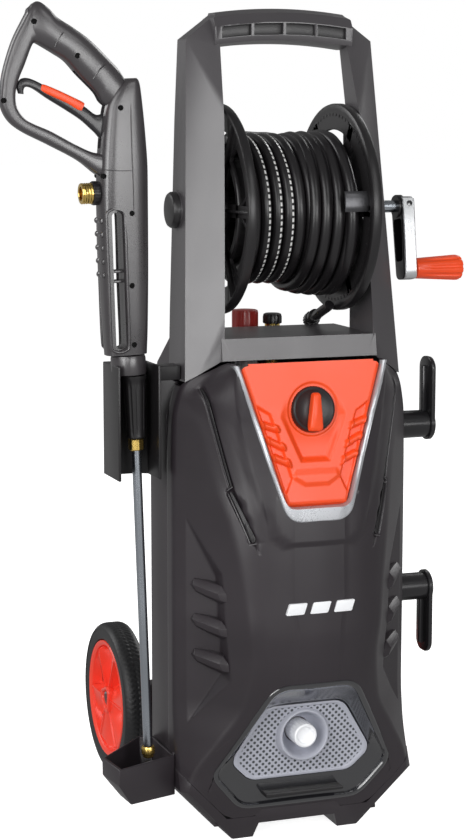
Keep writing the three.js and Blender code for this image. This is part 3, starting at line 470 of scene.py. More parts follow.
def mirror_x(bm):
    made = join(bm)
    transform(made, Matrix.Diagonal((-1, 1, 1, 1)))
    bmesh.ops.reverse_faces(made, faces=made.faces)
    return made


def piece(name, bm, body, slot, replaces=(), angle=32.0, material=None):
    """Makes an object of a bmesh in machine millimetres and lets it ride on a body."""
    for v in bm.verts:
        v.co = row(v.co)
    bm.normal_update()
    for f in bm.faces:
        f.smooth = True
    for e in bm.edges:
        e.smooth = len(e.link_faces) == 2 and e.calc_face_angle(0) < math.radians(angle)
    mesh = bpy.data.meshes.new(name)
    bm.to_mesh(mesh)
    bm.free()
    mesh.materials.append(material or MATERIALS[slot])
    obj = bpy.data.objects.new(name, mesh)
    bpy.context.scene.collection.objects.link(obj)
    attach(obj, body)
    if replaces:
        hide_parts(*replaces)
    return obj


# ---------------------------------------------------------------- front cover

# Height, then x, y of the centre, the ridge, the flank, the face's edge and the side corner.
LEVELS = np.array([
    [0, 0, -150, 30, -150, 55, -150, 73, -150, 74, -148],
    [62, 0, -168, 60, -168, 110, -166, 128, -163, 135, -156],
    [80, 0, -174, 60, -172.5, 100, -170, 124, -166, 135, -148],
    [120, 0, -191, 50, -190, 80, -187, 101, -181, 135, -136],
    [162, 0, -206, 40, -204.5, 62, -201, 77, -196, 135, -132],
    [211, 0, -217, 40, -215, 58, -212, 70, -207, 135, -132],
    [242, 0, -220, 40, -217.5, 60, -214, 73, -209, 135, -132],
    [279, 0, -219, 45, -216, 65, -211, 77, -205, 135, -132],
    [321, 0, -217, 45, -214.5, 68, -208, 83, -199, 135, -132],
    [362, 0, -214, 45, -212, 70, -204, 91, -188, 135, -132],
    [402, 0, -210, 45, -208, 75, -196, 101, -172, 135, -132],
    [459, 0, -203, 60, -200, 90, -184, 113.5, -158, 134, -132],
    [484, 0, -200, 72, -197, 97, -181, 121, -146, 130, -134],
    [502, 0, -198, 78, -195, 92, -183, 108, -152, 123, -138],
    [524, 0, -195, 80, -192, 84, -186, 87, -170, 88, -158],
])
SHOULDER = [[135, 465], [130, 488], [123, 502], [88, 524]]
LOW_EDGE = [[0, 34], [42, 34], [50, 26], [82, 26], [135, 82.6]]
MOUTH = [[45, -206, 181], [100, -177, 84], [98, -173, 74], [68, -161, 39]]


def even(z, zs, values):
    """A smooth rise through values that never swings past them."""
    h, d = np.diff(zs), np.diff(values) / np.diff(zs)
    m = np.zeros(len(zs))
    same = d[:-1] * d[1:] > 0
    m[1:-1][same] = 2 * d[:-1][same] * d[1:][same] / (d[:-1] + d[1:])[same]
    m[0], m[-1] = d[0], d[-1]
    k = np.clip(np.searchsorted(zs, z) - 1, 0, len(h) - 1)
    t = (z - zs[k]) / h[k]
    return (values[k] * (1 + 2 * t) * (1 - t) ** 2 + m[k] * h[k] * t * (1 - t) ** 2
            + values[k + 1] * t * t * (3 - 2 * t) + m[k + 1] * h[k] * t * t * (t - 1))


def step(x, low, high):
    t = np.clip((x - low) / (high - low), 0, 1)
    return t * t * (3 - 2 * t)


SPANS = [(40, 5), (12, 5), (26, 5), (56, 5), (3, 0)]
FILLETS = [0, 16, 13, 5, 5, 0]


def section(z):
    """Half a level section at every z: columns from the middle to the seam, with rounded corners."""
    p = np.stack([even(z, LEVELS[:, 0], LEVELS[:, 1 + i]) for i in range(10)], -1).reshape(*z.shape, 5, 2)
    seam = np.stack([p[..., 4, 0], np.full(z.shape, SEAM_Y)], -1)
    p = np.concatenate([p, seam[..., None, :]], -2)
    columns = []
    for k, (count, corner) in enumerate(SPANS):
        a, b = p[..., k, :], p[..., k + 1, :]
        length = np.linalg.norm(b - a, axis=-1, keepdims=True)
        d = (b - a) / length
        r0 = np.minimum(FILLETS[k], length * 0.45)
        r1 = np.minimum(FILLETS[k + 1], length * 0.45)
        for i in range(count):
            along = r0 + (length - r0 - r1) * i / count
            at = a + d * along
            if k == 0:
                t = along / length
                bend = (np.sqrt(t * t + 0.09) - 0.3) / (math.sqrt(1.09) - 0.3)
                at = np.concatenate([at[..., :1], a[..., 1:] + (b - a)[..., 1:] * bend], -1)
            columns.append(at)
        start = b - d * r1
        if corner:
            c = p[..., k + 2, :]
            after = np.linalg.norm(c - b, axis=-1, keepdims=True)
            end = b + (c - b) / after * np.minimum(FILLETS[k + 1], after * 0.45)
            for i in range(corner):
                t = i / corner
                columns.append(start * (1 - t) ** 2 + b * 2 * t * (1 - t) + end * t * t)
        else:
            columns.append(b)
    return np.stack(columns, -2), p


def edge_distance(px, pz, outline):
    """Signed distance to a convex outline given anticlockwise: positive inside."""
    inside = np.full(np.shape(px), 1e9)
    for (ax, az), (bx, bz) in zip(outline, outline[1:] + outline[:1]):
        length = math.hypot(bx - ax, bz - az)
        inside = np.minimum(inside, ((bx - ax) * (pz - az) - (bz - az) * (px - ax)) / length)
    return inside


def line_distance(px, pz, a, b):
    ax, az = a
    bx, bz = b
    t = np.clip(((px - ax) * (bx - ax) + (pz - az) * (bz - az)) / ((bx - ax) ** 2 + (bz - az) ** 2), 0, 1)
    return np.hypot(px - ax - t * (bx - ax), pz - az - t * (bz - az))


def panel_half(up):
    return PANEL["low"] + (PANEL["top"] - PANEL["low"]) * up / PANEL["height"]


def sunk(x, z, u):
    """How deep the front cover's surface lies under its plain shape; u runs in from the side corner."""
    depth = np.zeros(x.shape)
    hollow = [(10, 134), (21, 138), (71, 186), (63, 303), (16, 361)]
    top = edge_distance(u, z, hollow)
    floor = 0.26 * (u - 17)
    vents = np.maximum(0, np.minimum(floor, 0.6 * top))
    depth += np.where((u > 5) & (u < 85), vents, 0)
    low = line_distance(x, z, (70, 340), (88.5, 390))
    high = line_distance(x, z, (87.5, 395), (110, 497))
    depth += np.maximum(5 * step(-low, -4.6, -1.6), 3 * step(-high, -2.8, -0.5))
    up = (z - PANEL["z"]) / math.cos(math.radians(PANEL["tilt"]))
    raised = [(-70, -48), (30, -48), (52, -32), (66, 9), (75, 38), (83, 85), (88, 149), (-70, 149)]
    apron = edge_distance(x, up, raised)
    notch = edge_distance(x, up, [(-70, -58), (35, -58), (35, -48), (29, -39.5), (-70, -39.5)])
    depth -= 2.4 * np.minimum(step(apron, 0, 6), 1 - step(notch, -1.5, 1.5))
    return depth


def front_cover():
    probe, _ = section(np.linspace(26, 524, 60))
    columns = probe.shape[1]
    low, high = np.full(columns, 34.0), np.full(columns, 500.0)
    for _ in range(14):
        at_low = section(low)[0][np.arange(columns), np.arange(columns), 0]
        at_high = section(high)[0][np.arange(columns), np.arange(columns), 0]
        low = 0.5 * low + 0.5 * np.interp(at_low, *np.array(LOW_EDGE, float).T)
        high = 0.5 * high + 0.5 * np.interp(at_high, [0, *np.array(SHOULDER, float)[::-1, 0]],
                                            [524, *np.array(SHOULDER, float)[::-1, 1]])
    rows = 272
    t = np.linspace(0, 1, rows)[:, None]
    z = low * (1 - t) + high * t
    xy, corners = section(z)
    pick = np.arange(columns)
    xy = xy[:, pick, pick]
    corners = corners[:, pick]
    points = np.dstack([xy, z])
    across, along = np.gradient(points, axis=1), np.gradient(points, axis=0)
    normal = np.cross(across, along)
    normal /= np.linalg.norm(normal, axis=2, keepdims=True)
    normal *= np.where(normal[..., 1:2] > 0, -1, 1)
    facet = corners[..., 3, :] - corners[..., 4, :]
    facet /= np.linalg.norm(facet, axis=2, keepdims=True)
    u = ((xy - corners[..., 4, :]) * facet).sum(2)
    points = points - normal * sunk(xy[..., 0], z, u)[..., None]
    grid = np.concatenate([points[:, ::-1] * np.array([-1, 1, 1]), points[:, 1:]], 1)
    count = grid.shape[1]
    tilt = math.cos(math.radians(PANEL["tilt"]))
    wide = [panel_half(0) + 3.5, panel_half(200) + 3.5]
    window = rounded([(-wide[0], -3.5), (wide[0], -3.5), (wide[1], 200), (-wide[1], 200)], [19, 19, 0, 0], 6)
    holes = ([(a, PANEL["z"] + b * tilt) for a, b in window],
             rounded([(-68, 39), (68, 39), (98, 74), (100, 84), (45, 181), (-45, 181), (-100, 84), (-98, 74)],
                     [12, 12, 7, 7, 16, 16, 7, 7], 6))
    gone = np.zeros(grid.shape[:2], bool)
    for hole in holes:
        gone |= edge_distance(grid[..., 0], grid[..., 2], hole) > 0
    faces = []
    for k in range(rows - 1):
        for i in range(count - 1):
            if not (gone[k, i] and gone[k, i + 1] and gone[k + 1, i] and gone[k + 1, i + 1]):
                faces.append((k * count + i, k * count + i + 1, (k + 1) * count + i + 1, (k + 1) * count + i))
    bm = mesh_from([tuple(p) for p in grid.reshape(-1, 3)], faces)
    loose = [v for v in bm.verts if not v.link_faces]
    bmesh.ops.delete(bm, geom=loose, context="VERTS")
    rim = [e for e in bm.edges if len(e.link_faces) == 1]
    for v in {v for e in rim for v in e.verts}:
        for hole in holes:
            x, z = v.co.x, v.co.z
            inside = float(edge_distance(x, z, hole))
            if 0 < inside < 12:
                gx = float(edge_distance(x + 0.01, z, hole) - edge_distance(x - 0.01, z, hole)) / 0.02
                gz = float(edge_distance(x, z + 0.01, hole) - edge_distance(x, z - 0.01, hole)) / 0.02
                v.co.x, v.co.z = x - gx * inside, z - gz * inside
                v.co.y += cover_y(v.co.x, v.co.z) - cover_y(x, z)
    grown = bmesh.ops.extrude_edge_only(bm, edges=rim)
    for v in [g for g in grown["geom"] if isinstance(g, bmesh.types.BMVert)]:
        scale = 0.965 if v.co.y < -120 else 0.97
        v.co = Vector((v.co.x * scale, min(v.co.y + 4, -110), v.co.z))
    return bm


def cover_y(x, z):
    xy, _ = section(np.array([float(z)]))
    return float(np.interp(abs(x), xy[0, :, 0], xy[0, :, 1]))


def face_normal(x, z):
    dx = (cover_y(x + 1, z) - cover_y(x - 1, z)) / 2
    dz = (cover_y(x, z + 1) - cover_y(x, z - 1)) / 2
    return Vector((dx, -1, dz)).normalized()


def face_strip(ends, half, out, thick, shift=0.0, taper=0.0, steps=26):
    """A thin bar along a line on the front face, given by its (x, z) ends; taper narrows its far end."""
    (x0, z0), (x1, z1) = ends
    lean = Vector((x1 - x0, z1 - z0)).normalized()
    rings = []
    for k in range(steps + 1):
        t = k / steps
        off = shift * (1 - taper * t)
        x, z = x0 + (x1 - x0) * t - off * lean.y, z0 + (z1 - z0) * t + off * lean.x
        n = face_normal(x, z)
        centre = Vector((x, cover_y(x, z), z))
        side = Vector((lean.y, 0, -lean.x))
        side = (side - n * side.dot(n)).normalized()
        end = (0.55 if k in (0, steps) else 1.0) * (1 - taper * t)
        rings.append([centre + side * (a * end) + n * b for a, b in
                      ((-half, out - thick), (half, out - thick), (half, out - 0.3), (half * 0.8, out),
                       (-half * 0.8, out), (-half, out - 0.3))])
    return skin(rings)


def slot_pieces():
    low, high = ((70, 340), (88.5, 390)), ((87.5, 396), (110, 497))
    # The dark strips laid into the slots are painted shade: they draw the slots as dark lines.
    dark = [face_strip(low, 2.9, -1.0, 3.0, taper=0.5), face_strip(high, 1.1, -0.5, 2.0)]
    # The lips are thin strips of the paler frame plastic along the slots' edges: a painted highlight.
    highlight_lips = [face_strip(low, 0.65, 0.9, 2.6, shift=-3.6, taper=0.45),
            face_strip(high, 0.45, 0.7, 2.0, shift=-1.6),
            face_strip(((66.5, 338.6), (74.2, 336.6)), 0.65, 0.9, 2.4, steps=6),
            face_strip(((86.0, 396.5), (91.0, 392.0)), 0.5, 0.7, 2.0, steps=6)]
    for label, parts, slot in (("painted_shade_inlay", dark, "dark"), ("lip", highlight_lips, "frame")):
        one = join(*parts)
        piece(f"face_slot_{label}_left", mirror_x(one), "root", slot)
        piece(f"face_slot_{label}_right", one, "root", slot)


def on_facet(u, z, out):
    """A point on the slanting side face, left side: u in from the side corner, out from the surface."""
    a = np.array([even(np.array([float(z)]), LEVELS[:, 0], LEVELS[:, i])[0] for i in (7, 8, 9, 10)])
    edge, corner = Vector((a[0], a[1])), Vector((a[2], a[3]))
    d = (edge - corner).normalized()
    n = Vector((-d.y, d.x))
    if n.y > 0:
        n = -n
    p = corner + d * u + n * out
    return (-p.x, p.y, z)


def vent_pod(z):
    """A hooded scoop over one side opening, on the left side."""
    rim = [(22, 0.5), (27, 7.5), (44, 6), (61, 3), (68, -5), (69, -14), (60, -16.5), (44, -12), (29, -7)]
    crest = [(30, 1.5), (44, -1), (60, -4.5)]
    belly = [(32, -4.5), (46, -8.5), (63, -12)]
    points = [on_facet(u, z + h, -8.5) for u, h in rim]
    points += [on_facet(u, z + h, -0.5) for u, h in rim]
    points += [on_facet(u, z + h, 5.2) for u, h in crest]
    points += [on_facet(u, z + h, 3.6) for u, h in belly]
    return soften(hull(points), 1.1, 3, 12)


def arched(bm):
    for k in range(-9, 10):
        geometry = bm.verts[:] + bm.edges[:] + bm.faces[:]
        bmesh.ops.bisect_plane(bm, geom=geometry, plane_co=(8.4 * k, 0, 0), plane_no=(1, 0, 0))
    for v in bm.verts:
        if v.co.z > 820 and abs(v.co.x) < 76:
            v.co.z += 5.5 * (1 - (v.co.x / 76) ** 2)
    return bm


def body_pieces():
    piece("front_cover_shell", front_cover(), "root", "shell", ["front_cover"], angle=60)
    pods = [vent_pod(z) for z in (287, 249, 210.5)]
    left = join(*pods)
    piece("vent_hoods_right", mirror_x(left), "root", "shell")
    piece("vent_hoods_left", left, "root", "shell")
    slot_pieces()
    marks = []
    for x in (-27, 0, 27):
        outline = [(x - 12, 262), (x + 8, 262), (x + 12, 274), (x - 8, 274)]
        marks.append(soften(prism("y", rounded(outline, 1.5), -220.4, -216), 0.3, 2))
    piece("front_dashes", join(*marks), "root", "white")
    piece("base_tray_shell", soften(copy_of("base_tray"), 1.0, 2), "root", "shell", ["base_tray"])
    piece("rear_cover_shell", soften(copy_of("rear_cover"), 2.0, 3), "root", "shell", ["rear_cover"])
    frame_bm = soften(copy_of("handle_frame"), 1.8, 3)
    arched(frame_bm)
    cell = (141 - 9) / 4
    # Dark boxes sitting in the top bar's four pockets: painted shade inside the pockets.
    pocket_shade_boxes = [soften(box(x - 0.4, x + cell + 0.4, -106.5, -102, 858.6, 871.4), 0.3, 2)
              for x in (-70.5 + k * (cell + 3) for k in range(4))]
    piece("bar_pocket_painted_shade", arched(join(*pocket_shade_boxes)), "root", "dark")
    piece("handle_frame_shell", frame_bm, "root", "frame", ["handle_frame"])


# ---------------------------------------------------------------- control panel

def on_panel(x, up, out):
    a = math.radians(PANEL["tilt"])
    return (x, PANEL["y"] + up * math.sin(a) - out * math.cos(a),
            PANEL["z"] + up * math.cos(a) + out * math.sin(a))


def panel_relief(x, up):
    ax = np.abs(x)
    depth = np.zeros(x.shape)
    strip = edge_distance(ax, up, [(26, 29.5), (33.5, 13), (36, 14), (64.5, 109), (48, 98.5), (40, 77)])
    sink = step(strip, 0, 2.2)
    depth += 3.4 * sink
    bars = (((41, 82), (59, 88)), ((35, 62.5), (52, 71)), ((28, 45), (45, 52.5)))
    for inner, outer in bars:
        bar = line_distance(ax, up, inner, outer)
        depth -= 5.0 * np.sqrt(np.clip(1 - (bar / 3.8) ** 2, 0, 1)) * step(strip, -4, 1)
    dial = np.hypot(x, up - DIAL_UP)
    trap = edge_distance(x, up, [(-17, 45), (17, 45), (38, 94), (30, 129), (-30, 129), (-38, 94)])
    depth += (1.0 + 4.5 * step(-up, -110, -60)) * step(trap, 0, 7) * step(-up, -116, -92)
    depth += 1.5 * step(-dial, -29, -27)
    lip = edge_distance(x, up, [(-14, 20), (14, 20), (28, 29), (25, 42), (-25, 42), (-28, 29)])
    depth -= 1.8 * step(lip, 0, 5) * step(-up, -41, -31)
    return depth


def control_panel():
    wide, tall = 150, 170
    t = np.linspace(0, 1, tall)[:, None]
    up = -2.0 + (PANEL["height"] + 4) * t + np.zeros((1, wide))
    corner = 12 - np.sqrt(np.clip(144 - np.clip(up - PANEL["height"] + 12, 0, 12) ** 2, 0, 144))
    x = (panel_half(up) + 2.0 - corner) * np.linspace(-1, 1, wide)[None, :]
    edge = np.minimum(panel_half(up) - np.abs(x), np.minimum(up, 400 - up))
    roll = 2.4 * (1 - step(edge, -1.0, 5.0)) + 2.5 * (1 - step(edge, 0.2, 1.4))
    out = 2.6 - panel_relief(x, up) - roll
    well = np.hypot(x, up - DIAL_UP) < 24.0
    points = [on_panel(a, b, c) for a, b, c in zip(x.ravel(), up.ravel(), out.ravel())]
    faces = [(k * wide + i, k * wide + i + 1, (k + 1) * wide + i + 1, (k + 1) * wide + i)
             for k in range(tall - 1) for i in range(wide - 1)
             if not (well[k, i] and well[k, i + 1] and well[k + 1, i] and well[k + 1, i + 1])]
    bm = mesh_from(points, faces)
    bmesh.ops.delete(bm, geom=[v for v in bm.verts if not v.link_faces], context="VERTS")
    bmesh.ops.solidify(bm, geom=bm.faces, thickness=1.6)
    bmesh.ops.recalc_face_normals(bm, faces=bm.faces)
    return bm


def bezel():
    """A painted band round the panel's sides and bottom, from the panel's edge out over the cover."""
    def outline(grow, bottom, radius):
        levels = [PANEL["height"] + 0.5 - 12 * k for k in range(12)]
        side = [(panel_half(up) + grow, up) for up in levels] + [(panel_half(bottom) + grow, bottom)]
        whole = rounded(side + [(-x, up) for x, up in side[::-1]],
                        [0] * 12 + [radius, radius] + [0] * 12, 12)
        return [Vector(q) for q in whole]

    inner, outer = outline(0.2, -0.2, 13), outline(6.2, -16.5, 17)
    rings = []
    for a, b in zip(inner, outer):
        wide = (b - a).length

        def proud(f):
            x, up = a.lerp(b, f)
            at = on_panel(x, up, 0)
            return (at[1] - cover_y(x, at[2])) / math.cos(math.radians(PANEL["tilt"])) + 2.4

        ring = [(0.0, -3.0), (0.0, 3.0), (0.8 / wide, 4.4)]
        for f in (2.6 / wide, 3.4 / wide, 0.7, 0.85):
            ring.append((f, max(4.6, proud(f) + 1.0)))
        ring += [(1 - 0.9 / wide, max(3.4, proud(1.0) + 1.0)), (1.0, max(2.6, proud(1.0) + 0.2)),
                 (1.0, proud(1.0) - 4), (1.0, -3.0)]
        rings.append([Vector(on_panel(*a.lerp(b, f), out)) for f, out in ring])
    return skin(rings)


def dial():
    a = math.radians(PANEL["tilt"])
    n = Vector((0, -math.cos(a), math.sin(a)))
    at = Vector(on_panel(0, DIAL_UP, 0))
    body = [(0.01, -6), (23.6, -6), (24.6, -5), (24.7, -1.0), (24.3, 2.6), (23.2, 4.4), (21.5, 5.1),
            (19.8, 4.6),
            (18.6, 3.8), (9, 3.4), (0.01, 3.4)]

    def grip(r, along, angle):
        notch = 0.35 * (0.5 + 0.5 * math.cos(angle * 48))
        return r - notch if 24 < r and along > -4 else r

    disc = lathe(body, at, n, 192, grip)
    piece("switch_dial_disc", disc, "dial", "dark", ["switch_dial"])
    outline = rounded([(-9, -23), (7.5, -23.5), (6.2, 17), (-2.2, 17.5)], [5, 5, 3.5, 3.5], 6)
    steps = [(0, 3.0), (0, 8.5), (0.8, 11.0), (2.4, 12.2)]
    rings = []
    for inset, out in steps:
        ring = []
        for x, up in outline:
            cx, cu = 0.5, -3
            k = 1 - inset / 14
            ring.append(Vector(on_panel(cx + (x - cx) * (1 - inset / 9), DIAL_UP + cu + (up - cu) * k, out)))
        rings.append(ring)
    piece("dial_pointer_grip", skin(rings), "dial", "orange", ["dial_pointer"], angle=50)


def panel_pieces():
    piece("control_panel_plate", control_panel(), "root", "orange", ["control_panel"], angle=60)
    piece("panel_bezel_trim", bezel(), "root", "silver", ["panel_bezel"], angle=40)
    dial()


# ---------------------------------------------------------------- water inlet

PLATE = [(45, 152), (78, 98), (78, 88), (58, 68.5)]
PLATE_MIDDLE = 112
BOWL = Vector((0, 117))


def plate_y(z):
    return -161 - 13 * (z - 68) / 84


def plate_outline(count):
    whole = rounded(PLATE + [(-x, z) for x, z in PLATE[::-1]], [12, 5, 5, 9, 9, 5, 5, 12], 8)
    return resample(whole, count)


def recess_trim():
    """The glossy surround: a proud lip round the mouth and walls that run in to the plate."""
    both = [(x, y, z) for x, y, z in MOUTH] + [(-x, y, z) for x, y, z in MOUTH[::-1]]
    mouth = rounded([(x, z) for x, y, z in both], [16, 7, 7, 12, 12, 7, 7, 16], 8)
    dense_mouth = resample(mouth, 220)
    dense_inner = plate_outline(220)

    def scaled(ring, grow):
        cx, cz = 0, PLATE_MIDDLE
        out = []
        for x, z in ring:
            d = Vector((x - cx, z - cz))
            k = 1 + grow / d.length
            out.append((cx + d.x * k, cz + d.y * k))
        return out

    rings = []
    for grow, out in ((3.4, -3), (3.2, 0.5), (2.4, 1.3), (0.6, 1.5), (-1.6, 1.2), (-3.2, -0.4), (-4.2, -3)):
        rings.append([Vector((x, cover_y(x, z) - out, z)) for x, z in scaled(dense_mouth, grow)])
    start = [(x, cover_y(x, z) + 3, z) for x, z in scaled(dense_mouth, -4.2)]
    end = [(x, plate_y(z) - 1.0, z) for x, z in scaled(dense_inner, 1.0)]
    for k in range(1, 9):
        t = k / 8
        rings.append([Vector(a).lerp(Vector(b), t) for a, b in zip(start, end)])
    rings.append([Vector((x, plate_y(z) + 3, z)) for x, z in scaled(dense_inner, 1.0)])
    bm = skin(rings, capped=False)
    bmesh.ops.solidify(bm, geom=bm.faces, thickness=1.4)
    bmesh.ops.recalc_face_normals(bm, faces=bm.faces)
    return bm


def resample(outline, count):
    p = [Vector(q) for q in outline]
    p.append(p[0])
    length = [0.0]
    for a, b in zip(p, p[1:]):
        length.append(length[-1] + (b - a).length)
    start = min(range(len(p) - 1), key=lambda i: abs(math.atan2(p[i].x, p[i].y - PLATE_MIDDLE)))
    out, k = [], 0
    for i in range(count):
        s = (length[start] + length[-1] * i / count) % length[-1]
        k = max(j for j in range(len(length) - 1) if length[j] <= s + 1e-9)
        span = length[k + 1] - length[k]
        q = p[k].lerp(p[k + 1], 0 if span < 1e-9 else (s - length[k]) / span)
        out.append((q.x, q.y))
    return out


def inlet_plate():
    outer = plate_outline(160)
    rings, tint = [], []
    for scale, out, dotted in ((1.0, -2, 0), (1.0, 1.4, 0), (0.975, 2.0, 0), (0.945, 1.8, 0), (0.925, 0.8, 0),
                               (0.915, 0.6, 1)):
        rings.append([Vector((x * scale, plate_y(PLATE_MIDDLE + (z - PLATE_MIDDLE) * scale) - out,
                              PLATE_MIDDLE + (z - PLATE_MIDDLE) * scale)) for x, z in outer])
        tint.append(dotted)
    for t, dotted in ((0.3, 1), (0.6, 1), (0.92, 1), (0.97, 0)):
        ring = []
        for x, z in outer:
            a = math.atan2(x - BOWL.x, z - BOWL.y)
            fx = (1 - t) * x * 0.915 + t * 29.5 * math.sin(a)
            fz = (1 - t) * (PLATE_MIDDLE + (z - PLATE_MIDDLE) * 0.915) + t * (BOWL.y + 29.5 * math.cos(a))
            ring.append(Vector((fx, plate_y(fz) - 0.6, fz)))
        rings.append(ring)
        tint.append(dotted)
    bowl = [(28.6, -175.5), (27.6, -176.6), (26.4, -176.8), (25.2, -175.8), (23.6, -170), (22.3, -163),
            (20.5, -157),
            (17.5, -153.5), (14.2, -152.5)]
    for r, y in bowl:
        ring = []
        for x, z in outer:
            a = math.atan2(x - BOWL.x, z - BOWL.y)
            ring.append(Vector((BOWL.x + r * math.sin(a), y, BOWL.y + r * math.cos(a))))
        rings.append(ring)
        tint.append(0)
    bm = skin(rings, capped=False)
    layer = bm.loops.layers.color.new("dotted")
    bm.verts.ensure_lookup_table()
    n = len(rings[0])
    bm.verts.index_update()
    for f in bm.faces:
        for loop in f.loops:
            value = tint[min(loop.vert.index // n, len(tint) - 1)]
            loop[layer] = (value, value, value, 1)
    return bm


def inlet_pieces():
    piece("recess_surround", recess_trim(), "root", "gloss", ["recess_trim"], angle=40)
    # A dark bar filling the drain slot: painted shade in the slot.
    drain = prism("y", rounded([(-44, 50.5), (46, 51.5), (46, 54.5), (-44, 55.5)], 1.8), -176, -160)
    piece("drain_slot_painted_shade", soften(drain, 0.4, 2), "root", "dark")
    piece("inlet_plate_moulding", inlet_plate(), "root", "grey", ["inlet_plate"], angle=40)
    at, out = Vector((BOWL.x, -152, BOWL.y)), Vector((0, -1, 0))
    plug = [(0.01, -2), (12.8, -2), (13.2, 2), (13.5, 6), (13.5, 24), (12.9, 27), (11.4, 28), (9.8, 27.2),
            (8.6, 24.5),
            (7.4, 23.8), (0.01, 23.5)]

    def ribs(r, along, angle):
        return r - (0.5 * (0.5 + 0.5 * math.cos(angle * 20)) if 13 < r and along < 25 else 0)

    bm = lathe(plug, at, out, 160, ribs)
    piece("inlet_plug_cap", bm, "root", "white", ["inlet_plug"])


# ---------------------------------------------------------------- wheels

WHEEL_WIDTH = WHEEL["outer"] - WHEEL["inner"]
RIM_FRONT = WHEEL_WIDTH - 3.5


def wheel_axis(side):
    return Vector((side * WHEEL["inner"], WHEEL["y"], WHEEL["r"])), Vector((side, 0, 0))


def tyre(side, label):
    r, width = WHEEL["r"], WHEEL_WIDTH
    at, out = wheel_axis(side)

    def tread(radius, along, angle):
        if radius < r - 3.5:
            return radius
        block = math.cos(angle * 90 + (2.2 if along > width / 2 else -2.2) * math.sin(along * 0.55))
        groove = 0.7 * (block < -0.25) + 0.5 * (abs(along - width / 2) < 1.2)
        return radius - groove

    profile = [(69.5, 3), (72, 1.2), (78, 0.8), (84, 1.4), (87.6, 3.6), (89.3, 6.5), (89.9, 9)]
    profile += [(90, a) for a in np.linspace(10.5, width - 11, 9)]
    profile += [(89.9, width - 9.5), (89.3, width - 7), (87.8, width - 4), (85.6, width - 2),
                (84.6, width - 1.1),
                (83.2, width - 0.9), (82.4, width - 1.7), (76, width - 1.2), (71, width - 2.0),
                (69.5, width - 4)]
    piece(f"tyre_{label}_tread", ring_lathe(profile, at, out, 360, tread), f"wheel_{label}", "tyre",
          [f"tyre_{label}"], angle=40)


def rim(side, label):
    front = RIM_FRONT
    at, out = wheel_axis(side)

    def height(rad, angle):
        share = (angle / (2 * math.pi) * 6) % 1.0
        fall = 15.0 * step(np.array(rad), 10, 30) * (1 - 0.25 * step(np.array(rad), 50, 64))
        slope = front - 1.0 - fall * step(np.array(share), 0.05, 0.97)
        rib = 1.6 * (share < 0.035 or share > 0.975)
        level = float(slope + rib)
        if rad > 61:
            level = level + (front - 3.5 - level) * float(step(np.array(rad), 61, 63))
        return level

    side_v, up_v, d = frame_of(out)
    radii = [8.2, 12, 17, 22, 27, 32, 37, 42, 47, 51, 55, 58, 60.5, 62, 63]
    steps = 288
    rings = []
    for rad in radii:
        rings.append([at + d * height(rad, 2 * math.pi * i / steps)
                      + side_v * (rad * math.cos(2 * math.pi * i / steps))
                      + up_v * (rad * math.sin(2 * math.pi * i / steps)) for i in range(steps)])
    lip = [(63.6, front - 0.6), (66, front + 1.6), (68.4, front + 2.0), (69.2, front + 1.0),
           (69.2, front - 10),
           (69.2, 3), (68, 2), (66, 2), (65, 4), (64.4, 12), (63.4, front - 6)]
    rings += turned_rings(lip, at, out, steps)
    bm = bmesh.new()
    verts = [[bm.verts.new(p) for p in ring] for ring in rings]
    for k in range(len(rings) - 1):
        for i in range(steps):
            share = ((i + 0.5) / steps * 6) % 1.0
            if 9 <= k <= 11 and 0.58 < share < 0.93:
                continue
            if k == 8 and 0.66 < share < 0.93:
                continue
            j = (i + 1) % steps
            bm.faces.new((verts[k][i], verts[k][j], verts[k + 1][j], verts[k + 1][i]))
    bmesh.ops.recalc_face_normals(bm, faces=bm.faces)

    def from_axis(face):
        middle = face.calc_center_median() - at
        return (face.calc_center_median() - at - d * middle.dot(d)).length

    web = [f for f in bm.faces if from_axis(f) < 63.3]
    bmesh.ops.solidify(bm, geom=web, thickness=1.8)
    piece(f"rim_{label}_web", bm, f"wheel_{label}", "red", [f"rim_{label}"], angle=35)


def hub(side, label):
    front = RIM_FRONT
    at, out = wheel_axis(side)

    def lobes(radius, along, angle):
        return radius * (1 + 0.17 * math.cos(3 * angle + 0.4))

    cap = [(0.01, front - 4), (15, front - 4), (15.5, front + 0.5), (14.6, front + 2.6), (12.4, front + 3.2),
           (10.6, front + 2.2), (9.6, front + 0.2), (0.01, front - 0.4)]
    piece(f"hub_cap_{label}_lobes", lathe(cap, at, out, 96, lobes), f"wheel_{label}", "red",
          [f"hub_cap_{label}"])
    dark = [(0.01, front - 1.0), (8.4, front - 1.0), (8.2, front + 0.5), (6.0, front + 1.1),
            (0.01, front + 1.1)]
    piece(f"hub_core_{label}", lathe(dark, at, out, 60, lobes), f"wheel_{label}", "dark")


# ---------------------------------------------------------------- hose reel

